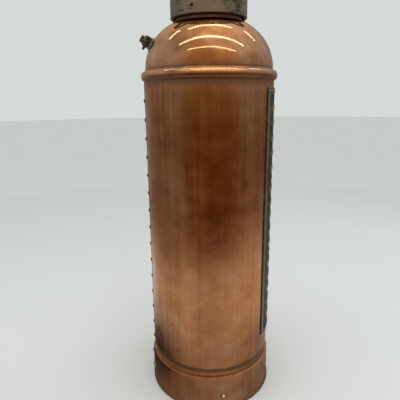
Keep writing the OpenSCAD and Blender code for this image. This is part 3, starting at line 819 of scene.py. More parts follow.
@dataclass
class Tank:
    """The rolled copper tank: side, riveted seam, wired foot and dished bottom."""

    body_r: float = 88.9
    wall: float = 1.2
    lap: float = 0.6
    lap_half: float = math.radians(5.5)
    band_r: float = 91.3
    groove_z: float = 61.0
    groove_d: float = 1.9
    top_z: float = 467.9
    roll_c: float = 89.7
    roll_z: float = 2.7
    roll_r: float = 3.0
    wire_r: float = 1.8
    rivet_top_z: float = 434.2
    rivet_pitch: float = 26.3
    rivets: int = 17
    rivet_r: float = 3.0
    rivet_h: float = 1.8
    foot_rivet_z: float = 20.0

    def rivet_heights(self) -> Array:
        """Heights of the seam rivets, from the top."""
        return self.rivet_top_z - np.arange(self.rivets) * self.rivet_pitch

    def outline(self) -> Array:
        """Section of the sheet with its rolled foot, as rows of (r, z, 1 outside or 0 inside)."""
        ridge = self.body_r - self.groove_d
        shoulder = [(self.band_r, self.groove_z - 10, 2), (self.band_r - 1.1, self.groove_z - 6.4, 2.2),
                    (ridge + 0.1, self.groove_z - 2.2, 1.8), (ridge, self.groove_z + 0.4, 1.4),
                    (self.body_r - 0.15, self.groove_z + 4.6, 1.6)]
        turn = np.radians(np.linspace(-245, 66, 44))
        outer_roll = np.stack((self.roll_c + self.roll_r * np.cos(turn),
                               np.maximum(self.roll_z + self.roll_r * np.sin(turn), 0)), -1)
        inner_roll = np.stack((self.roll_c + self.wire_r * np.cos(turn[::2]),
                               np.maximum(self.roll_z + self.wire_r * np.sin(turn[::2]), 0.9)), -1)[::-1]
        rise = rounded([(self.band_r - 0.62, 7, 0.5), (self.band_r, 23, 6), *shoulder,
                        (self.body_r, self.groove_z + 9, 1)], False, 6)
        near = np.array([-6.6, -4.4, -3.3, -2.2, -1.1, 0, 1.1, 2.2, 3.3, 4.4, 6.6, 10])
        knots = (self.rivet_heights()[:-3, None] + near[None]).ravel()
        ends = np.array([458.2, 458.8, 462, self.top_z])
        heights = np.unique(np.concatenate((knots[knots > self.groove_z + 12], ends)))
        heights = heights[heights <= self.top_z]
        plain = np.stack((np.full(len(heights), self.body_r), heights), -1)
        outside = np.vstack((outer_roll, spaced(rise, 3.0, False), plain))
        back = np.vstack((plain[::3], [[self.body_r, self.groove_z + 9]], rise[::-1]))
        inside = back[np.argsort(-back[:, 1], kind="stable")] - [self.wall, 0]
        inside = np.vstack(([[self.body_r - self.wall, self.top_z]], inside[inside[:, 1] < self.top_z - 1]))
        return np.vstack((np.column_stack((outside, np.ones(len(outside)))),
                          np.column_stack((inside, np.zeros(len(inside)))),
                          np.column_stack((inner_roll, np.zeros(len(inner_roll))))))

    def warp(self, a: Array, r: Array, z: Array, tag: Array) -> tuple[Array, Array]:
        """Shift of the side: the lap's step, dimples round the rivets, dents and slow waves.

        The lap adds its thickness between two edges, one sharp and one soft. A dimple is
        exp(-((d - 4.2) / 1.5)^2) of the distance d to a rivet, and a dent is a Gaussian hollow.
        """
        off = gap_to(a, math.pi)
        band = smooth(z, 6.5, 7.5) * (1 - smooth(z, 458.2, 458.8))
        ridge = smooth(off, -self.lap_half - 0.004, -self.lap_half + 0.008) * (
            1 - smooth(off, self.lap_half - 0.0025, self.lap_half + 0.0025))
        shift = self.lap * ridge * band * (tag > 0.5)
        local = (z - self.rivet_top_z + self.rivet_pitch / 2) % self.rivet_pitch - self.rivet_pitch / 2
        apart = np.hypot(off * self.body_r, local)
        on_seam = smooth(z, 8, 10) * (1 - smooth(z, 440, 446))
        shift = shift - 0.16 * np.exp(-((apart - 4.2) / 1.5) ** 2) * on_seam
        middle = smooth(z, 66, 90) * (1 - smooth(z, 440, 458))
        plain = middle * (0.35 + 0.65 * smooth(np.abs(gap_to(a, 0)), 0.72, 0.80))
        shift = shift + 0.13 * plain * waves(a, z, 11, 14, 5, 120) + 0.035 * plain * waves(a, z, 5, 20, 16, 30)
        dents = ((-1.05, 118, 0.55, 7), (-2.35, 205, 0.5, 11), (-1.75, 352, 0.35, 14), (-0.98, 92, 0.4, 5),
                 (2.2, 300, 0.8, 13), (1.35, 150, 0.6, 9), (2.6, 110, 0.5, 6), (-2.7, 96, 0.45, 6))
        for at, height, depth, size in dents:
            far = (gap_to(a, at) * self.body_r) ** 2 + (z - height) ** 2
            shift = shift - depth * np.exp(-far / size ** 2) * middle
        foot = (1 - smooth(z, 52, 58)) * smooth(z, 3, 8)
        shift = shift + 0.10 * foot * waves(a, z, 23, 12, 14, 40)
        return shift, np.zeros_like(z)

    def side(self) -> Surface:
        """The sheet, finer near the seam."""
        azimuth = finer_turn(200, [math.pi - self.lap_half, math.pi + self.lap_half], 0.012, 6)
        azimuth = np.unique(np.concatenate((azimuth, finer_turn(4, [math.pi], 0.075, 13)[2:-2])))
        return revolved(self.outline(), azimuth, self.warp)

    def rivet_shape(self, back: float, seed: int) -> Surface:
        """A round-head rivet along X: a slightly flattened, uneven cap, its shank and its tail."""
        turn = np.radians(np.linspace(0, 90, 8))
        head = np.stack((self.rivet_r * np.cos(turn) ** 0.9, self.rivet_h * np.sin(turn)), -1)
        head[-1, 0] = 0
        profile = np.vstack(([[0, back - 1], [2.4, back - 1], [2.6, back - 0.8], [2.6, back - 0.1], [1.6, back]],
                             [[1.6, -0.3], [self.rivet_r - 0.1, -0.25]], head))
        blank = revolved(profile, even_turn(20), lambda a, r, z, tag: (
            0.05 * waves(a, z, seed, 5, 4, 9) * (z > -0.3), -0.04 * (z > 0.2) * waves(a, z, seed + 1, 4, 3, 9)))
        return blank.placed((0, 0, 0), (0, 1, 0), (0, 0, 1), (1, 0, 0))

    def seam_rivets(self) -> Surface:
        """The rivets down the seam, no two quite alike."""
        total = None
        for i, height in enumerate(self.rivet_heights()):
            seat = (self.body_r if height + self.rivet_r > self.groove_z + 5 else self.band_r) + self.lap
            one = self.rivet_shape(-self.lap - self.wall - 0.45, 40 + i)
            one = one.placed((seat - 0.03, 0, height), (1, 0, 0), (0, 1, 0), (0, 0, 1)).turned(math.pi)
            total = one if total is None else total + one
        return total

    def foot_rivets(self) -> Surface:
        """The rivets round the foot band."""
        one = self.rivet_shape(-self.wall - 0.35, 90)
        spin = np.radians(-82 + 90 * np.arange(4))
        zero = np.zeros(4)
        x = np.stack((np.cos(spin), np.sin(spin), zero), -1)
        y = np.stack((-np.sin(spin), np.cos(spin), zero), -1)
        z = np.tile([0.0, 0.0, 1.0], (4, 1))
        origins = x * (self.band_r - 0.03) + z * self.foot_rivet_z
        return one.repeated(origins, x, y, z)

    def bottom(self) -> Surface:
        """The dished bottom: a shallow crown with a rolled corner and a flange, slightly oil-canned."""
        edge = self.band_r - self.wall
        rim = edge - 4.5
        r = np.linspace(0, rim, 26)
        top = 67 - 17 * (r / edge) ** 2.2
        turn = np.radians(np.linspace(75, 0, 6))
        knee = top[-1] - 4.5
        outer = np.stack((rim + 4.5 * np.cos(turn), knee + 4.5 * np.sin(turn)), -1)
        inner = np.stack((rim + 3.3 * np.cos(turn[::-1]), knee + 3.3 * np.sin(turn[::-1])), -1)
        under = np.stack((r, top - self.wall), -1)
        over = np.stack((r, top), -1)[::-1]
        profile = np.vstack((under, inner[::-1], [[edge - self.wall, 40], [edge - self.wall, 34], [edge, 34],
                                                  [edge, 40]], outer[::-1], over))
        return revolved(profile, even_turn(120), lambda a, r, z, tag: (
            np.zeros_like(z), 0.35 * waves(a, r, 31, 8, 4, 60) * smooth(r, 4, 20) * (1 - smooth(r, 60, 80))))

    def build(self, palette: Palette, fitter: Fitter) -> None:
        """Builds and dresses the tank."""
        fitter.fit(self.side().make("tank_side", palette.side), "vessel", "copper_sheet", "shell")
        fitter.fit(self.seam_rivets().make("seam_rivet_heads", palette.rivet), "vessel", "copper_rivets",
                   "seam_rivets")
        fitter.fit(self.foot_rivets().make("foot_rivet_heads", palette.foot_rivet), "vessel",
                   "foot_rivet_brass", "foot_rivets")
        fitter.fit(self.bottom().make("dished_bottom", palette.bottom), "vessel", "copper_sheet", "bottom_head")
        fitter.dress("foot_wire", palette.iron)


# ---------------------------------------------------------------- head and neck


@dataclass
class Head:
    """The drawn copper head with its bead, and the brass neck."""

    bead_z: float = 465.9
    bead_r: float = 93.2
    bead_h: float = 12.8
    body_r: float = 88.9
    wall: float = 1.2
    dome_r: float = 87.0
    dome_h: float = 71.0
    power: float = 2.15
    hole_r: float = 44.0
    neck_z0: float = 526.0
    neck_z1: float = 561.0
    bore_r: float = 38.0
    ledge_r: float = 40.5
    pitch: float = 3.0

    @property
    def dome_z(self) -> float:
        """Height at which the dome's curve starts."""
        return self.bead_z + self.bead_h / 2 + 0.2

    def dome(self, a: float, b: float, steps: int) -> Array:
        """The dome's curve r = a cos(t)^(2/n), z = z0 + b sin(t)^(2/n), from its foot to the hole."""
        last = math.acos((self.hole_r / a) ** (self.power / 2))
        t = np.linspace(0, last, steps)
        return np.stack((a * np.cos(t) ** (2 / self.power), self.dome_z + b * np.sin(t) ** (2 / self.power)), -1)

    def height(self, r: Array) -> Array:
        """Height of the dome's skin at a radius."""
        inside = np.clip(1 - (r / self.dome_r) ** self.power, 0, 1)
        return self.dome_z + self.dome_h * inside ** (1 / self.power)

    def skin(self) -> Surface:
        """The head: bead outside, dome above it and the lining inside.

        The bead is the half ellipse c + (R - c) cos(t), z + h/2 sin(t). Slow waves and a few
        shallow knocks shift the skin along its radius.
        """
        middle = self.bead_r - 5.5
        turn = np.radians(np.linspace(-80, 88, 26))
        bead = np.stack((middle + 5.5 * np.cos(turn) ** 0.92, self.bead_z + self.bead_h / 2 * np.sin(turn)), -1)
        back = np.radians(np.linspace(72, -62, 14))
        hollow = np.stack((middle + (5.5 - self.wall) * np.cos(back),
                           self.bead_z + (self.bead_h / 2 - self.wall) * np.sin(back)), -1)
        foot = [[self.body_r + 0.05, self.bead_z - self.bead_h / 2 + 0.5]]
        join = [[self.dome_r - self.wall, self.dome_z - 2.5], [self.body_r + 0.05, self.dome_z - 4.2]]
        lining = self.dome(self.dome_r - self.wall, self.dome_h - self.wall, 34)[::-1]
        profile = np.vstack((foot, bead, self.dome(self.dome_r, self.dome_h, 72)[1:], lining, join, hollow))

        def warp(a: Array, r: Array, z: Array, tag: Array) -> tuple[Array, Array]:
            """Slow waves over the dome and small ones along the bead."""
            on_dome = smooth(z, self.dome_z + 3, self.dome_z + 14) * (1 - smooth(z, 524, 533))
            along = np.exp(-((z - self.bead_z) / 5) ** 2)
            shift = -0.025 * on_dome * (1 + waves(a, z, 3, 12, 4, 80)) - 0.05 * along * (1 + waves(a, z, 8, 14, 24, 50))
            for at, height, depth, size in ((-2.3, 498, 0.25, 5.5), (-0.7, 489, 0.2, 6.5), (1.2, 500, 0.4, 9)):
                shift = shift - depth * np.exp(-((gap_to(a, at) * 76) ** 2 + (z - height) ** 2) / size ** 2)
            return shift, np.zeros_like(z)

        return revolved(profile, even_turn(216), warp)

    def neck(self) -> Surface:
        """The neck: a ring with a ledge inside and a rounded screw thread cut outside."""
        outline = rounded([(self.bore_r, self.neck_z0, 0.4), (self.hole_r, self.neck_z0, 0.4),
                           (self.hole_r, self.neck_z1, 1.6), (self.ledge_r, self.neck_z1, 0.3),
                           (self.ledge_r, self.neck_z1 - 4, 0.2), (self.bore_r, self.neck_z1 - 4, 0.4)], True)
        profile = spaced(outline, 0.5, True)

        def warp(a: Array, r: Array, z: Array, tag: Array) -> tuple[Array, Array]:
            """Cuts the thread on the outer side only."""
            zone = smooth(r, self.hole_r - 0.5, self.hole_r - 0.1) * smooth(z, 540, 542)
            return -thread_depth(a, z, self.pitch, 1.2) * zone * (1 - smooth(z, 558, 560)), np.zeros_like(z)

        return revolved(profile, even_turn(128), warp)

    def fillet(self) -> Surface:
        """The lumpy solder fillet between head and neck."""
        top = float(self.height(np.array(self.hole_r)))
        low = float(self.height(np.array(self.hole_r + 3.0)))
        profile = spaced(rounded([(self.hole_r - 0.3, top - 0.6, 0), (self.hole_r + 3.0, low - 0.5, 0.2),
                                  (self.hole_r + 2.9, low + 0.05, 0.2), (self.hole_r + 1.2, top + 0.7, 1.0),
                                  (self.hole_r + 0.2, top + 2.2, 0.3), (self.hole_r - 0.3, top + 2.2, 0)], True), 0.6, True)
        return revolved(profile, even_turn(160), lambda a, r, z, tag: (
            0.25 * waves(a, z, 17, 16, 22, 30) * smooth(r, 44.2, 45.0),
            -0.2 * np.abs(waves(a, z, 18, 16, 18, 30)) * smooth(z, top + 0.4, top + 1.4)))

    def build(self, palette: Palette, fitter: Fitter) -> None:
        """Builds and dresses the head and neck."""
        fitter.fit(self.skin().make("domed_head", palette.head), "vessel", "copper_sheet", "top_dome")
        fitter.fit(self.neck().make("threaded_neck", palette.neck), "vessel", "toned_brass", "neck_collar")
        fitter.fit(self.fillet().make("neck_fillet", palette.coppery_solder), "vessel", "soft_solder",
                   "neck_solder")
        fitter.dress("bead_solder", palette.solder)


# ---------------------------------------------------------------- name plate


@dataclass
class NamePlate:
    """Long embossed plate with a rope border, plain bars, bosses and rings, and no lettering."""

    half: float = math.radians(37)
    z0: float = 94.0
    z1: float = 450.0
    back_r: float = 88.9
    ground_r: float = 90.0
    relief: float = 0.8
    columns: int = 205
    rows: int = 440
    panels: int = 3
    bars: int = 5

    def bar(self, u: Array, v: Array, width: float, height: float) -> Array:
        """A pillow-shaped bar at the origin: 1 inside a rounded box, falling over 0.9 mm at its edge."""
        inside = np.minimum(width - np.abs(u), height - np.abs(v))
        corner = 2.5 - np.hypot(np.maximum(2.5 - (width - np.abs(u)), 0), np.maximum(2.5 - (height - np.abs(v)), 0))
        edge = np.where((width - np.abs(u) < 2.5) & (height - np.abs(v) < 2.5), corner, inside)
        return smooth(edge, 0, 0.9) * (0.80 + 0.20 * smooth(edge, 0.9, 3.2))

    def disc(self, u: Array, v: Array, radius: float) -> Array:
        """A low round boss: the square root of 1 - (d / radius)^2."""
        return np.sqrt(np.clip(1 - (u * u + v * v) / radius ** 2, 0, 1))

    def ring(self, u: Array, v: Array, radius: float, width: float) -> Array:
        """A raised ring of a given radius and half width, round in section."""
        return np.sqrt(np.clip(1 - ((np.hypot(u, v) - radius) / width) ** 2, 0, 1))

    def pattern(self, u: Array, v: Array) -> Array:
        """Height of the raised work from 0 to 1, at arc length u and height v from the middle."""
        wide, tall = self.half * self.ground_r, (self.z1 - self.z0) / 2
        edge = np.minimum(wide - np.abs(u), tall - np.abs(v))
        along = np.where(wide - np.abs(u) < tall - np.abs(v), v * np.sign(u), -u * np.sign(v))
        rope = np.sqrt(np.clip(1 - ((edge - 4.3) / 1.9) ** 2, 0, 1))
        rope = rope * (0.62 + 0.38 * np.abs(np.sin(math.pi * (along + edge * 0.9) / 3.4)))
        lines = smooth(edge, 0.2, 0.7) * (1 - smooth(edge, 1.3, 1.7)) * 0.8
        lines = np.maximum(lines, smooth(edge, 7.0, 7.4) * (1 - smooth(edge, 7.9, 8.3)) * 0.7)
        total = np.maximum(rope, lines)
        border, gap, inner = 7.0, 9.0, wide - 7.0
        panel = (2 * tall - 2 * border - (self.panels + 1) * gap) / self.panels
        for i in range(self.panels):
            base = -tall + border + gap + i * (panel + gap)
            for k in range(self.bars):
                middle = base + (k + 0.5) * panel / self.bars
                reach = inner - (9 if k % 2 == 0 else 16)
                total = np.maximum(total, 0.97 * self.bar(u, v - middle, reach, 4.5))
                knots = ((np.abs(u) + 4) % 8 - 4)
                total = total - 0.16 * np.exp(-(knots ** 2 + (v - middle) ** 2) / 2.2) * (np.abs(u) < reach - 4)
                if k % 2:
                    total = np.maximum(total, 0.9 * self.disc(np.abs(u) - inner + 9.5, v - middle, 3.6))
        for i in range(1, self.panels):
            level = -tall + border + gap / 2 + i * (panel + gap)
            total = np.maximum(total, 0.9 * self.ring(u, v - level, 3.2, 1.0))
            total = np.maximum(total, self.disc(u, v - level, 1.6))
            scroll = v - level - 1.6 * np.sin(u / 2.6)
            total = np.maximum(total, 0.75 * smooth(1.0 - np.abs(scroll), 0, 0.8)
                               * smooth(np.abs(u), 6, 7) * (1 - smooth(np.abs(u), inner - 8, inner - 6)))
        return np.clip(total, 0, 1)

    def surface(self) -> Surface:
        """The plate: r = ground + relief * pattern on a grid of azimuth and height, with a plain back.

        The back is one strip of faces from the bottom edge to the top edge, and each side is closed
        by one flat face, so the plate is a closed solid.
        """
        edge = np.array([0.0, 0.25, 0.6, 1.0, 1.4])
        wide = np.degrees(edge / self.ground_r) * math.pi / 180
        a = np.linspace(-self.half + wide[-1], self.half - wide[-1], self.columns - 8)
        a = np.concatenate((-self.half + wide[:-1], a, (self.half - wide[:-1])[::-1]))
        z = np.concatenate((self.z0 + edge[:-1], np.linspace(self.z0 + 1.4, self.z1 - 1.4, self.rows - 8),
                            (self.z1 - edge[:-1])[::-1]))
        grid_a, grid_z = np.meshgrid(a, z, indexing="ij")
        u, v = grid_a * self.ground_r, grid_z - (self.z0 + self.z1) / 2
        mark = self.pattern(u, v)
        rim = np.minimum(self.half * self.ground_r - np.abs(u), (self.z1 - self.z0) / 2 - np.abs(v))
        bend = 0.10 * waves(grid_a * 4, grid_z, 61, 12, 3, 90) * smooth(rim, 6, 30)
        r = self.ground_r + self.relief * mark + np.minimum(bend, self.relief * (1 - mark))
        r = r - 0.45 * (1 - smooth(rim, 0, 0.7))
        front = np.stack((r * np.cos(grid_a), r * np.sin(grid_a), grid_z), -1).reshape(-1, 3)
        index = np.arange(r.size).reshape(r.shape)
        face = np.stack((index[:-1, :-1], index[1:, :-1], index[1:, 1:], index[:-1, 1:]), -1).reshape(-1, 4)
        ring = np.stack((np.cos(a), np.sin(a)), -1) * self.back_r
        low = np.column_stack((ring, np.full(len(a), self.z0)))
        high = np.column_stack((ring, np.full(len(a), self.z1)))
        first = r.size
        bottom, top = first + np.arange(len(a)), first + len(a) + np.arange(len(a))
        back = np.stack((bottom[1:], bottom[:-1], top[:-1], top[1:]), -1)
        under = np.stack((index[1:, 0], index[:-1, 0], bottom[:-1], bottom[1:]), -1)
        over = np.stack((index[:-1, -1], index[1:, -1], top[1:], top[:-1]), -1)
        left = np.concatenate(([top[0], bottom[0]], index[0]))[None]
        right = np.concatenate(([bottom[-1], top[-1]], index[-1, ::-1]))[None]
        marks = np.concatenate((mark.ravel(), np.zeros(2 * len(a))))
        return Surface(np.vstack((front, low, high)), [face, back, under, over, left, right], marks)

    def build(self, palette: Palette, fitter: Fitter) -> None:
        """Builds and dresses the plate."""
        fitter.fit(self.surface().make("embossed_plate", palette.plate), "vessel", "plate_brass", "name_plate")


# ---------------------------------------------------------------- outlet


@dataclass
class Outlet:
    """The hose outlet: bush, nipple, washer, tail and lugged nut, along one tilted axis."""

    tilt: float = math.radians(30)
    origin: tuple[float, float, float] = (-76.5, 0.0, 507.5)
    boss_r: float = 7.8
    boss_end: float = 5.0
    thread_r: float = 5.6
    nut_thread_r: float = 6.15
    bore_r: float = 3.5
    nut_r: float = 7.5
    nut_bore_r: float = 6.2
    nut_end: float = 12.6
    tail_r: float = 5.2
    tail_end: float = 17.2
    lug_reach: float = 11.4

    def out(self, shape: Surface) -> Surface:
        """Places a shape made round Z onto the outlet's axis, with its X pointing up."""
        c, s = math.cos(self.tilt), math.sin(self.tilt)
        return shape.placed(self.origin, (s, 0, c), (0, 1, 0), (-c, 0, s))

    def bush(self) -> Surface:
        """The bush: a ring with a turned bead near its outer end."""
        outline = rounded([(self.thread_r, -8, 0.3), (self.boss_r, -8, 0.5), (self.boss_r, 1.8, 0.3),
                           (self.boss_r - 0.7, 2.2, 0.3), (self.boss_r - 0.7, 2.8, 0.3), (self.boss_r, 3.3, 0.4),
                           (self.boss_r, self.boss_end, 0.8), (self.thread_r, self.boss_end, 0.3)], True)
        return self.out(revolved(spaced(outline, 1.0, True), even_turn(72), lambda a, r, z, tag: (
            -0.08 * (1 + waves(a, z, 71, 10, 9, 8)) * smooth(r, 6.6, 7.2), np.zeros_like(z))))

    def solder(self, head: Head) -> Surface:
        """The lumpy solder smeared round the bush.

        For each azimuth a ring of points lies from the bush out to an uneven edge. Every point is
        dropped along the outlet's axis onto the dome by bisection, then lifted by a hollow curve
        (1 - s)^2 that is highest against the bush; a second sheet under the skin closes it.
        """
        a, s = np.meshgrid(even_turn(120), np.linspace(0, 1, 14), indexing="ij")
        reach = 4.0 + 0.9 * waves(a, a * 0, 77, 12, 9, 50)
        rho = self.boss_r - 0.15 + reach * s
        c, t = math.cos(self.tilt), math.sin(self.tilt)
        low, high = np.full(a.shape, -16.0), np.full(a.shape, 10.0)
        for _ in range(30):
            mid = (low + high) / 2
            x = self.origin[0] + rho * np.cos(a) * t - mid * c
            y = rho * np.sin(a)
            z = self.origin[2] + rho * np.cos(a) * c + mid * t
            inside = z < head.height(np.hypot(x, y))
            low, high = np.where(inside, mid, low), np.where(inside, high, mid)
        lift = (1 - s) ** 1.7 * (2.6 + 0.5 * waves(a, s * 10, 78, 12, 7, 12)) + 0.12
        lift = np.minimum(lift, 2.4 - low) * (1 - smooth(s, 0.86, 1.0)) - 0.25 * smooth(s, 0.86, 1.0)
        over = np.stack((rho * np.cos(a), rho * np.sin(a), low + np.maximum(lift, -0.3)), -1)
        under = np.stack((rho * np.cos(a), rho * np.sin(a), low - 0.7), -1)[:, ::-1]
        sheet = np.concatenate((under[:, ::-1], over[:, ::-1]), 1)
        index = np.arange(sheet.shape[0] * sheet.shape[1]).reshape(sheet.shape[:2])
        beside, above = np.roll(index, -1, 0), np.roll(index, -1, 1)
        quads = np.stack((index, beside, np.roll(beside, -1, 1), above), -1).reshape(-1, 4)
        return self.out(Surface(sheet.reshape(-1, 3), [quads]))

    def nipple(self) -> Surface:
        """The nipple: a tube with threads inside the bush and under the nut."""
        core, end = self.thread_r - 0.02, self.boss_end
        outline = rounded([(self.bore_r, -8, 0.3), (core, -8, 0.4), (core, end, 0.2), (self.nut_thread_r, end, 0.2),
                           (self.nut_thread_r, 9, 0.5), (self.bore_r, 9, 0.4)], True)
        return self.out(revolved(spaced(outline, 0.22, True), even_turn(48), lambda a, r, z, tag: (
            -thread_depth(a, z, 1.5, 0.5) * smooth(r, 5.2, 5.5) * (1 - smooth(z, 8.4, 8.9)), np.zeros_like(z))))

    def washer(self) -> Surface:
        """The leather washer, slightly bulged."""
        hole, edge = self.bore_r + 0.1, self.nut_bore_r - 0.4
        outline = rounded([(hole, 9.0, 0.3), (edge, 9.0, 0.4), (edge, 10.2, 0.4), (hole, 10.2, 0.3)], True)
        return self.out(revolved(spaced(outline, 0.6, True), even_turn(48), lambda a, r, z, tag: (
            0.06 * waves(a, z, 33, 8, 9, 5), np.zeros_like(z))))

    def tail(self) -> Surface:
        """The hose tail: a held collar, then two saw-tooth ridges and a chamfered, worn end."""
        collar, stem, end = self.nut_bore_r - 0.3, self.tail_r - 0.5, self.tail_end
        outline = rounded([(self.bore_r, 10.2, 0.3), (collar, 10.2, 0.3), (collar, 11.1, 0.3), (stem, 11.1, 0.2),
                           (stem, 12.9, 0.2), (stem + 0.1, 13.1, 0.2), (self.tail_r, 14.3, 0.3), (4.5, 14.8, 0.3),
                           (4.6, 15.0, 0.3), (self.tail_r, 16.4, 0.5), (4.7, end, 0.5),
                           (self.bore_r + 0.3, end, 0.4), (self.bore_r, end - 0.5, 0.3)], True)
        return self.out(revolved(spaced(outline, 0.8, True), even_turn(72), lambda a, r, z, tag: (
            -0.06 * (1 + waves(a, z, 35, 10, 8, 6)) * smooth(z, 13.2, 14) * (r > 4.2), np.zeros_like(z))))

    def nut(self) -> Surface:
        """The nut: a turned ring with a rounded back, and three tapered lugs set into it."""
        bore, lip, edge, end = self.nut_bore_r, self.tail_r + 0.15, self.nut_r, self.nut_end
        start = self.boss_end + 0.3
        outline = rounded([(bore, start, 0.3), (edge - 0.4, start, 0.4), (edge, start + 0.6, 0.4), (edge, 10.2, 0.5),
                           (edge - 0.5, 10.6, 0.4), (edge - 0.3, 11.2, 0.4), (edge - 0.7, end, 0.6), (lip, end, 0.3),
                           (lip, 11.4, 0.2), (bore, 11.4, 0.2)], True)
        ring = revolved(spaced(outline, 0.8, True), even_turn(72), lambda a, r, z, tag: (
            -0.05 * (1 + waves(a, z, 37, 10, 8, 6)) * smooth(r, 6.6, 7.2), np.zeros_like(z)))
        s = np.linspace(0, FULL_TURN, 17)[:-1]
        wide, tall = np.cos(s), np.sin(s)
        rim = np.stack((np.sign(wide) * np.abs(wide) ** 0.5 * 1.8, np.sign(tall) * np.abs(tall) ** 0.5 * 1.6), -1)
        lug = extruded(rim, 6.5, self.lug_reach, 0.5).placed((0, 0, 8.3), (0, 0, -1), (0, 1, 0), (1, 0, 0))
        total = ring
        for turn in (180, 300, 60):
            total = total + lug.turned(math.radians(turn))
        return self.out(total)

    def build(self, palette: Palette, fitter: Fitter, head: Head) -> None:
        """Builds and dresses the outlet."""
        fitter.fit(self.bush().make("outlet_bush", palette.bush), "vessel", "toned_brass", "outlet_boss")
        fitter.fit(self.solder(head).make("outlet_fillet", palette.solder), "vessel", "soft_solder", "outlet_solder")
        fitter.fit(self.nipple().make("threaded_nipple", palette.bush), "vessel", "toned_brass", "outlet_nipple")
        fitter.fit(self.washer().make("tail_washer", palette.leather), "hose_fitting", "leather", "hose_washer")
        fitter.fit(self.tail().make("ridged_tail", palette.fitting), "hose_fitting", "dark_brass", "hose_tail")
        fitter.fit(self.nut().make("lugged_nut", palette.fitting), "coupling", "dark_brass", "coupling_nut")
        fitter.dress("outlet_strainer", palette.cage)


# ---------------------------------------------------------------- cage and bottle


@dataclass
class Cage:
    """The brass cage that hangs in the neck: ring, four straps, cup and rivets."""

    inner_r: float = 34.3
    strip: float = 1.2
    ring_r: float = 37.6
    flange_r: float = 40.1
    ring_z0: float = 544.0
    ledge_z: float = 557.0
    flange_z1: float = 560.4
    cup_z: float = 392.8
    bottle_z: float = 394.0
    strap_half: float = 6.0

    def ring(self) -> Surface:
        """The hanging ring, with its flange and softened edges."""
        outer = self.inner_r + self.strip
        outline = rounded([(outer, self.ring_z0, 0.4), (self.ring_r, self.ring_z0, 0.7), (self.ring_r, self.ledge_z, 0.3),
                           (self.flange_r, self.ledge_z, 0.4), (self.flange_r, self.flange_z1, 0.8),
                           (outer, self.flange_z1, 0.8)], True, 5)
        return revolved(spaced(outline, 2.0, True), even_turn(144), lambda a, r, z, tag: (
            -0.03 * (1 + waves(a, z, 51, 8, 7, 20)) * (r > 36), np.zeros_like(z)))

    def straps(self) -> Surface:
        """Four straps: a curved strip's section carried upward, with a slight bow."""
        middle = self.inner_r + self.strip / 2
        arc = self.strap_half / middle
        section = rounded([(-arc, -0.6, 0), (arc, -0.6, 0), (arc, 0.6, 0), (-arc, 0.6, 0)], True, 2)
        t = np.linspace(-1, 1, 9)
        outer = np.stack((t * arc, np.full(9, self.strip / 2 - 0.02)), -1)
        inner = np.stack((-t * arc, np.full(9, 0.02 - self.strip / 2)), -1)
        section = np.vstack((outer, inner))
        height = np.linspace(self.cup_z, self.ledge_z - 0.2, 30)
        a = section[:, None, 0] + 0 * height[None]
        bow = 0.25 * np.sin(math.pi * np.clip((height - 412) / 130, 0, 1))[None]
        r = middle + section[:, None, 1] - bow
        points = np.stack((r * np.cos(a), r * np.sin(a), np.broadcast_to(height, a.shape)), -1)
        index = np.arange(a.size).reshape(a.shape)
        beside = np.roll(index, -1, 0)
        quads = np.stack((index[:, :-1], index[:, 1:], beside[:, 1:], beside[:, :-1]), -1).reshape(-1, 4)
        strap = Surface(points.reshape(-1, 3), [quads, index[:, 0][None], index[::-1, -1][None]])
        total = strap.turned(math.radians(45))
        for k in (1, 2, 3):
            total = total + strap.turned(math.radians(45 + 90 * k))
        return total

    def rivets(self) -> Surface:
        """Low round rivet heads at both ends of each strap."""
        turn = np.radians(np.linspace(0, 90, 6))
        cap = np.stack((2.2 * np.cos(turn), 0.3 + 0.55 * np.sin(turn)), -1)
        cap[-1, 0] = 0
        one = revolved(np.vstack(([[0, 0], [2.2, 0]], cap)), even_turn(20)).placed((0, 0, 0), (0, 1, 0), (0, 0, 1), (1, 0, 0))
        spin = np.radians(45 + 90 * np.arange(4))
        x = np.stack((np.cos(spin), np.sin(spin), 0 * spin), -1)
        y = np.stack((-np.sin(spin), np.cos(spin), 0 * spin), -1)
        up = np.tile([0.0, 0.0, 1.0], (4, 1))
        outside = one.repeated(x * (self.inner_r + self.strip) + up * (self.cup_z + 11), x, y, up)
        return outside + one.repeated(x * (self.inner_r - 0.05) + up * (self.ring_z0 + 6), -x, y, -up)

    def build(self, palette: Palette, fitter: Fitter) -> None:
        """Builds and dresses the cage."""
        fitter.fit(self.ring().make("cage_hanger", palette.cage), "cage", "cage_brass", "cage_ring")
        fitter.fit(self.straps().make("cage_strips", palette.cage), "cage", "cage_brass", "cage_straps")
        fitter.fit(self.rivets().make("cage_rivet_heads", palette.rivet), "cage", "copper_rivets", "cage_rivets")
        fitter.dress("cage_cup", palette.cage)


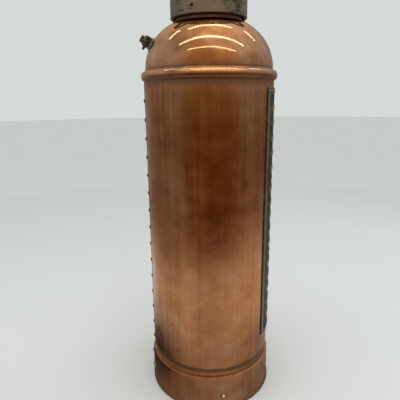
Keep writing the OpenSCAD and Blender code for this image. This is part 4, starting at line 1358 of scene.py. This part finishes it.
@dataclass
class Bottle:
    """The glass acid bottle and its loose lead stopper."""

    radius: float = 31.0
    z0: float = 394.0
    glass: float = 3.0
    shoulder_z: float = 518.0
    neck_r: float = 14.5
    mouth_r: float = 10.5
    mouth_z: float = 550.0
    lip_r: float = 17.0
    plug_r: float = 10.0
    knob_r: float = 15.5

    def glassware(self) -> Surface:
        """The bottle: heel, straight side, round shoulder, neck and lip outside, and the same inside."""
        outline = rounded([
            (0, self.z0 + 2, 0), (11, self.z0, 6), (self.radius, self.z0, 4), (self.radius, self.shoulder_z + 14, 13.5),
            (self.neck_r, self.shoulder_z + 14.6, 5), (self.neck_r, self.mouth_z - 5.6, 1), (self.lip_r, self.mouth_z - 4.6, 1.4),
            (self.lip_r, self.mouth_z, 1.4), (self.mouth_r, self.mouth_z, 0.9), (self.mouth_r, self.shoulder_z + 12, 3),
            (self.radius - self.glass, self.shoulder_z + 11, 11), (self.radius - self.glass, self.z0 + 4.6, 4),
            (11, self.z0 + 4.6, 5), (0, self.z0 + 6, 0)], False, 9)
        return revolved(spaced(outline, 6.0, False), even_turn(112), lambda a, r, z, tag: (
            -0.12 * (1 + waves(a, z, 81, 10, 3, 50)) * (np.abs(z - 462) < 60), np.zeros_like(z)))

    def stopper(self) -> Surface:
        """The stopper: a tapered plug under a knob with a dished top, cast a little uneven."""
        outline = rounded([
            (0, self.mouth_z - 14, 0), (8.5, self.mouth_z - 14, 1.2), (self.plug_r, self.mouth_z - 9.5, 1.5),
            (self.plug_r, self.mouth_z, 0.3), (self.knob_r, self.mouth_z, 0.7), (self.knob_r, self.mouth_z + 4, 2.2),
            (12.5, self.mouth_z + 7, 1.4), (7, self.mouth_z + 6.2, 2), (0, self.mouth_z + 6.0, 0)], False, 6)
        return revolved(spaced(outline, 2.0, False), even_turn(72), lambda a, r, z, tag: (
            -0.10 * (1 + waves(a, z, 85, 10, 5, 12)) * (r > 5), -0.06 * (1 + waves(a, r, 86, 8, 4, 14)) * (z > self.mouth_z + 4)))

    def build(self, palette: Palette, fitter: Fitter) -> None:
        """Builds and dresses the bottle and stopper."""
        fitter.fit(self.glassware().make("glass_bottle", palette.glass), "bottle", "bottle_glass", "acid_bottle")
        fitter.fit(self.stopper().make("lead_stopper", palette.lead), "stopper", "lead", "bottle_stopper")


# ---------------------------------------------------------------- cap


@dataclass
class Cap:
    """The cast screw cap with its vents and two ears, and the two rings under it."""

    radius: float = 51.2
    rim_z: float = 538.6
    rim_r: float = 47.2
    relief_z: float = 543.6
    bore_r: float = 44.05
    ceiling_z: float = 565.6
    well_r: float = 29.0
    well_z: float = 581.0
    step_z: float = 561.0
    side_z: float = 573.0
    top_z: float = 588.0
    vent_r: float = 1.6
    vent_z: float = 547.7
    vent_az: float = math.radians(-118)
    pitch: float = 3.0
    ear_c: float = 60.0
    ear_z: float = 589.0
    ear_r: float = 20.0
    ear_hole: float = 11.0
    ear_half: float = 5.5

    def vents(self) -> list[float]:
        """Azimuths of the vent holes."""
        return [self.vent_az + k * FULL_TURN / 3 for k in range(3)]

    def casting(self) -> Surface:
        """The skirt and top, with a screw thread inside, drilled vents and an uneven cast skin."""
        rim, upper = self.rim_z, self.radius - 0.8
        outline = rounded([
            (0, self.well_z, 0), (self.well_r, self.well_z, 2), (self.well_r, self.ceiling_z, 0.8),
            (self.bore_r, self.ceiling_z, 0.5), (self.bore_r, self.relief_z, 0.4), (self.rim_r, self.relief_z, 0.5),
            (self.rim_r, rim, 1.2), (self.radius, rim, 0.9), (self.radius - 0.05, rim + 3, 0.5),
            (self.radius - 0.05, self.step_z, 0.5),
            (upper, self.step_z + 1, 0.5), (upper, self.side_z + 7.5, 7), (36, self.side_z + 9.5, 5),
            (24, self.top_z - 3, 6), (12, self.top_z - 0.5, 4), (0, self.top_z, 0)], False, 7)
        profile = spaced(outline, 1.5, False)
        extra = self.vent_z + np.linspace(-2.6, 2.6, 15)
        on_side = np.abs(profile[:, 0] - self.radius) < 0.3
        keep = ~(on_side & (np.abs(profile[:, 1] - self.vent_z) < 2.7))
        first = np.argmax(on_side & (profile[:, 1] > self.vent_z - 2.7))
        head, tail = profile[:first][keep[:first]], profile[first:][keep[first:]]
        profile = np.vstack((head, np.stack((np.full(15, self.radius - 0.05), extra), -1), tail))
        azimuth = finer_turn(150, self.vents(), 2.6 / self.radius, 15)

        def warp(a: Array, r: Array, z: Array, tag: Array) -> tuple[Array, Array]:
            """Thread inside, holes and soft unevenness outside."""
            bore = (np.abs(r - self.bore_r) < 0.2) * smooth(z, 544.2, 546) * (1 - smooth(z, 562, 564))
            shift = thread_depth(a, z, self.pitch, 1.1) * bore
            skirt = smooth(r, 50.0, 50.3) * (z > rim + 2) * (z < self.side_z)
            shift = shift - 0.09 * (1 + waves(a, z, 91, 16, 12, 16)) * skirt
            for at in self.vents():
                apart = np.hypot(gap_to(a, at) * self.radius, z - self.vent_z)
                shift = shift - 4.6 * (1 - smooth(apart, self.vent_r - 0.25, self.vent_r + 0.1)) * skirt
            top = smooth(z, self.side_z + 4, self.side_z + 9)
            return shift, -0.12 * (1 + waves(a, r, 93, 12, 5, 22)) * top

        return revolved(profile, azimuth, warp)

    def ear(self, side: int) -> Surface:
        """One ear: rounded sections between the finger hole and the outline, closed round the hole.

        A section is a rounded box whose two ends lie on the hole's circle and on the outline. The
        outline is where a ray from the hole's centre leaves a row of discs that shrink towards the cap.

        Args:
            side: 1 for +X, -1 for -X.

        Returns:
            The ear as a closed ring.
        """
        turn = even_turn(96)
        share = np.linspace(0, 1, 40)[:, None]
        centre = np.array([-30.0, -12.0])[None] * share
        size = self.ear_r + (7.0 - self.ear_r) * share[:, 0]
        ray = np.stack((np.cos(turn), np.sin(turn)), -1)
        along = centre @ ray.T
        off = (centre ** 2).sum(1)[:, None] - along ** 2
        leave = np.where(size[:, None] ** 2 > off, along + np.sqrt(np.maximum(size[:, None] ** 2 - off, 0)), 0)
        outer = leave.max(0)
        box = rounded([(0, -1, 0.30), (1, -1, 0.42), (1, 1, 0.42), (0, 1, 0.30)], True, 6)
        s, w = spaced(box, 0.4, True).T
        radius = self.ear_hole + (outer[:, None] - self.ear_hole) * s[None]
        swell = 1 - 0.10 * np.clip((radius - 14) / 10, 0, 1)
        x = self.ear_c + radius * ray[:, :1]
        z = self.ear_z + radius * ray[:, 1:]
        y = self.ear_half * w[None] * swell
        y = y - np.sign(y) * 0.12 * (1 + waves(turn[:, None] + 0 * s, s * 6, 95 + side, 10, 6, 9)) * (np.abs(w) > 0.5)
        points = np.stack((side * x, side * y, z), -1)
        index = np.arange(x.size).reshape(x.shape)
        beside, above = np.roll(index, -1, 0), np.roll(index, -1, 1)
        quads = np.stack((index, above, np.roll(beside, -1, 1), beside), -1).reshape(-1, 4)
        return Surface(points.reshape(-1, 3), [quads])

    def gasket(self) -> Surface:
        """The rubber ring, pressed a little out of round."""
        outline = rounded([(36.1, 561.02, 0.7), (43.3, 561.02, 0.7), (43.3, 563.98, 0.7), (36.1, 563.98, 0.7)], True, 5)
        return revolved(spaced(outline, 1.5, True), even_turn(120), lambda a, r, z, tag: (
            0.08 * waves(a, z, 97, 8, 7, 9), np.zeros_like(z)))

    def washer(self) -> Surface:
        """The brass washer with turned edges."""
        outline = rounded([(31.1, 564.02, 0.3), (43.5, 564.02, 0.3), (43.5, 565.55, 0.3), (31.1, 565.55, 0.3)], True, 3)
        return revolved(spaced(outline, 2.5, True), even_turn(120))

    def build(self, palette: Palette, fitter: Fitter) -> None:
        """Builds and dresses the cap and its rings."""
        whole = self.casting() + self.ear(1) + self.ear(-1)
        fitter.fit(whole.make("cast_cap", palette.cap), "screw_cap", "toned_brass", "cap")
        fitter.fit(self.gasket().make("rubber_ring", palette.rubber), "gasket", "black_rubber", "cap_gasket")
        fitter.fit(self.washer().make("brass_washer", palette.cage), "washer", "toned_brass", "gasket_washer")


# ---------------------------------------------------------------- studio


@dataclass
class Studio:
    """Pale floor, soft light, light bars overhead, a dim surround to reflect, and the camera."""

    distance: float = 0.5742
    height: float = 0.4377
    yaw: float = -0.0248
    pitch: float = 0.252
    roll: float = 0.0109
    object_turn: float = math.radians(-4)
    lens: float = 35.72
    sky: Colour = (0.672, 0.700, 0.684)
    bar_z: float = 0.93

    def camera(self) -> None:
        """Puts the camera at the fitted viewpoint and makes it the scene's."""
        ahead = np.array([math.sin(self.yaw), math.cos(self.yaw), 0])
        right = np.array([math.cos(self.yaw), -math.sin(self.yaw), 0])
        up = np.array([0, 0, 1.0])
        look = math.cos(self.pitch) * ahead - math.sin(self.pitch) * up
        tall = math.sin(self.pitch) * ahead + math.cos(self.pitch) * up
        x_axis = math.cos(self.roll) * right - math.sin(self.roll) * tall
        y_axis = math.sin(self.roll) * right + math.cos(self.roll) * tall
        c, s = math.cos(self.object_turn), math.sin(self.object_turn)
        spin = np.array([[c, -s, 0], [s, c, 0], [0, 0, 1]])
        axes = spin @ np.stack((x_axis, y_axis, -look), 1)
        place = spin @ np.array([0, -self.distance, self.height])
        lens = bpy.data.cameras.new("camera")
        lens.lens, lens.sensor_width = self.lens, 36.0
        lens.clip_start, lens.clip_end = 0.01, 100.0
        camera = bpy.data.objects.new("camera", lens)
        matrix = np.eye(4)
        matrix[:3, :3], matrix[:3, 3] = axes, place
        camera.matrix_world = Matrix(matrix.tolist())
        bpy.context.scene.collection.objects.link(camera)
        bpy.context.scene.camera = camera

    def floor(self) -> None:
        """A wide pale floor."""
        tree = Tree("pale_floor")
        mottle = tree.noise(3, detail=3)
        tone = tree.blend(mottle, (0.80, 0.815, 0.81), (0.84, 0.85, 0.845))
        material = tree.surface(Base_Color=tone, Roughness=0.8)
        disc = revolved(np.array([[0, -40.0], [9000, -40], [9000, -0.2], [0, -0.2]]), even_turn(64))
        disc.make("studio_floor", material)

    def glow(self, tree: Tree, colour: object, strength: float, lit: object = 1.0) -> bpy.types.Material:
        """Ends a tree as a light-giving material that is clear where lit is 0."""
        shine = tree.node("ShaderNodeEmission", None, {"Color": colour, "Strength": strength})
        clear = tree.node("ShaderNodeBsdfTransparent")
        return tree.finish(tree.node("ShaderNodeMixShader", None, {0: lit, 1: clear, 2: shine}))

    def only_reflected(self, shown: bpy.types.Object) -> None:
        """Hides a stage piece from everything but reflections."""
        shown.visible_camera = shown.visible_diffuse = shown.visible_shadow = False
        shown.visible_transmission = shown.visible_volume_scatter = False

    def surround(self) -> None:
        """What the copper reflects: a bowl and floor, dim and brown in front, grey at the sides."""
        tree = Tree("surround_wall")
        x, y, z = tree.axes()
        reach = ((x * x) + (y * y)) ** 0.5
        facing = y * -1.0 / reach
        rise = z - 0.42
        climb = (rise / ((rise * rise) + (reach * reach)) ** 0.5 + 0.35) / 1.35
        front = tree.ramp(climb, (0.0, (0.12, 0.045, 0.003)), (0.22, (0.125, 0.056, 0.008)),
                          (0.285, (0.26, 0.20, 0.09)), (0.39, (0.31, 0.29, 0.20)), (0.54, (0.55, 0.47, 0.29)),
                          (0.887, (0.85, 0.87, 0.78)), (1.0, (1.25, 1.25, 1.0)))
        side = tree.ramp(climb, (0.0, (0.21, 0.165, 0.145)), (0.22, (0.17, 0.145, 0.12)),
                         (0.285, (0.21, 0.19, 0.17)), (0.39, (0.40, 0.46, 0.50)), (0.54, (0.50, 0.61, 0.72)),
                         (0.783, (0.75, 0.92, 1.0)), (0.887, (0.95, 1.08, 1.1)), (1.0, (1.25, 1.25, 1.05)))
        back = tree.ramp(climb, (0.0, (0.26, 0.25, 0.23)), (0.39, (0.30, 0.30, 0.27)), (0.60, (0.42, 0.40, 0.32)),
                         (0.78, (0.75, 0.68, 0.48)), (0.9, (1.1, 1.15, 0.95)), (1.0, (1.25, 1.25, 1.05)))
        tone = tree.blend(facing.step(0.50, 0.80), side, front)
        tone = tree.blend(facing.step(-0.50, -0.78), tone, back)
        tone = tone * self.grey(tree, 1.0 - (x / reach).step(-0.45, -0.85) * climb.step(0.50, 0.75) * 0.34)
        t = np.linspace(math.pi / 2, 0, 24)
        bowl = np.stack((1500 * np.cos(t), 1300 * np.sin(t) + 1), -1)
        self.only_reflected(self.lining(bowl).make("studio_surround", self.glow(tree, tone, 1.0)))
        tree = Tree("surround_floor")
        x, y, z = tree.axes()
        reach = ((x * x) + (y * y)) ** 0.5
        facing = y * -1.0 / reach
        side = tree.ramp(reach / 1.5, (0.07, (0.24, 0.22, 0.20)), (0.133, (0.41, 0.42, 0.42)),
                         (0.173, (0.52, 0.53, 0.52)), (0.207, (0.64, 0.67, 0.64)), (0.253, (0.70, 0.73, 0.68)),
                         (0.333, (0.66, 0.68, 0.65)), (0.40, (0.53, 0.52, 0.48)), (0.467, (0.42, 0.40, 0.36)),
                         (0.58, (0.33, 0.31, 0.28)), (0.733, (0.25, 0.21, 0.19)), (1.0, (0.22, 0.18, 0.16)))
        front = tree.ramp(reach / 1.5, (0.133, (0.41, 0.42, 0.43)), (0.173, (0.48, 0.49, 0.48)),
                          (0.24, (0.54, 0.55, 0.52)), (0.287, (0.54, 0.53, 0.49)), (0.333, (0.46, 0.46, 0.41)),
                          (0.40, (0.38, 0.38, 0.36)), (0.467, (0.20, 0.14, 0.04)), (0.58, (0.14, 0.075, 0.006)),
                          (0.733, (0.115, 0.05, 0.004)), (1.0, (0.10, 0.045, 0.003)))
        far = reach.step(0.55, 0.75)
        ahead = facing.step(0.76, 0.95) * (1.0 - far) + facing.step(0.55, 0.80) * far
        tone = tree.blend(ahead, side, front)
        left = (x / reach).step(-0.70, -0.92)
        aside = (y - 0.02) * 0.6
        apart = ((x + 0.15) * (x + 0.15) + aside * aside) ** 0.5
        shade = 1.0 - (left * 0.25 + apart.step(0.090, 0.035) * 0.62)
        shade = self.grey(tree, shade)
        disc = np.array([[1500.0, 1.0], [1000, 1], [600, 1], [300, 1], [94.5, 1]])
        self.only_reflected(self.lining(disc).make("studio_ground", self.glow(tree, tone * shade, 1.0)))

    def grey(self, tree: Tree, value: Field) -> Field:
        """A number as a grey colour."""
        return tree.node("ShaderNodeCombineXYZ", None, {0: value, 1: value, 2: value})

    def lining(self, profile: Array, steps: int = 96) -> Surface:
        """An open surface turned about Z from a profile that runs inwards."""
        a = even_turn(steps)[:, None]
        r, z = profile[None, :, 0], profile[None, :, 1]
        points = np.stack((r * np.cos(a), r * np.sin(a), z + 0 * a), -1)
        index = np.arange(steps * len(profile)).reshape(steps, -1)
        beside = np.roll(index, -1, 0)
        quads = np.stack((index[:, :-1], beside[:, :-1], beside[:, 1:], index[:, 1:]), -1).reshape(-1, 4)
        return Surface(points.reshape(-1, 3), [quads])

    def bars(self) -> None:
        """Four light bars over the object, partly split into rows of small lamps.

        A bar's centre line is y = at + slope * x. Between x = split[0] and split[1] it shows as
        lamps of a given length across the bar, and it is dark between x = gap[0] and gap[1].
        """
        rows = (("low", -0.525, -0.068, (-0.46, 0.56), (2.0, 3.0), (2.0, 3.0), 0.010),
                ("middle", -0.225, -0.03, (-0.47, 0.55), (-0.19, 0.25), (2.0, 3.0), 0.026),
                ("high", 0.13, 0.05, (-0.46, 0.58), (-0.27, 0.36), (-0.25, 0.34), 0.012),
                ("dots", 0.045, 0.05, (-0.17, 0.20), (-0.17, 0.20), (-0.06, -0.03), 0.014))
        for name, at, slope, (x0, x1), split, gap, length in rows:
            tree = Tree(f"light_bar_{name}")
            x, y, _ = tree.axes()
            across = abs(y - at - x * slope)
            lamps = abs(x % 0.024 - 0.012).step(0.0068, 0.0048) * across.step(length / 2 + 0.002, length / 2)
            solid = across.step(0.0052, 0.0036)
            inside = x.step(split[0], split[0] + 0.01) * x.step(split[1], split[1] - 0.01)
            dark = x.step(gap[0], gap[0] + 0.02) * x.step(gap[1], gap[1] - 0.02)
            glow = (solid * (1.0 - inside) + lamps * inside) * (1.0 - dark)
            half = 16.0
            ends = np.array([[x0, at + slope * x0], [x1, at + slope * x1]]) * 1e3
            corners = np.array([ends[0] - [0, half], ends[1] - [0, half], ends[1] + [0, half], ends[0] + [0, half]])
            strip = Surface(np.column_stack((corners, np.full(4, self.bar_z * 1e3))), [np.array([[3, 2, 1, 0]])])
            self.only_reflected(strip.make(f"light_bar_{name}", self.glow(tree, (0.72, 0.95, 1.0), 22.0, glow)))

    def lights(self) -> None:
        """World light and soft area lights, which the copper doesn't mirror."""
        world = bpy.data.worlds.new("pale_studio")
        world.use_nodes = True
        background = next(n for n in world.node_tree.nodes if n.type == "BACKGROUND")
        background.inputs["Color"].default_value = (*self.sky, 1.0)
        background.inputs["Strength"].default_value = 1.0
        bpy.context.scene.world = world
        soft = (("key", (0.1, -0.35, 1.15), (0.0, 0.0, 0.2), 0.9, 2.6), ("left", (-1.0, -0.4, 0.7), (0.0, 0.0, 0.3), 0.7, 1.2),
                ("right", (1.0, 0.3, 0.8), (0.0, 0.0, 0.3), 0.7, 1.2))
        for name, place, target, size, power in soft:
            light = bpy.data.lights.new(f"{name}_softbox", "AREA")
            light.shape, light.size, light.energy, light.color = "DISK", size, power, (1.0, 0.98, 0.95)
            lamp = bpy.data.objects.new(light.name, light)
            back = np.array(place) - np.array(target)
            back = back / np.linalg.norm(back)
            side = np.cross([0, 0, 1.0], back)
            side = side / np.linalg.norm(side)
            matrix = np.eye(4)
            matrix[:3, :3] = np.stack((side, np.cross(back, side), back), 1)
            matrix[:3, 3] = place
            lamp.matrix_world = Matrix(matrix.tolist())
            lamp.visible_glossy = lamp.visible_camera = False
            bpy.context.scene.collection.objects.link(lamp)

    def build(self) -> None:
        """Sets up the whole studio."""
        self.camera()
        self.floor()
        self.surround()
        self.bars()
        self.lights()
        bpy.context.scene.view_settings.view_transform = "Standard"


def main() -> None:
    """Builds the studio and every sub-assembly."""
    logging.basicConfig(level=logging.INFO, format="%(message)s")
    Studio().build()
    palette, fitter, head = Palette(), Fitter(), Head()
    Tank().build(palette, fitter)
    head.build(palette, fitter)
    NamePlate().build(palette, fitter)
    Outlet().build(palette, fitter, head)
    Cage().build(palette, fitter)
    Bottle().build(palette, fitter)
    Cap().build(palette, fitter)
    log.info("%d new pieces", fitter.count)


if __name__ == "__main__":
    main()
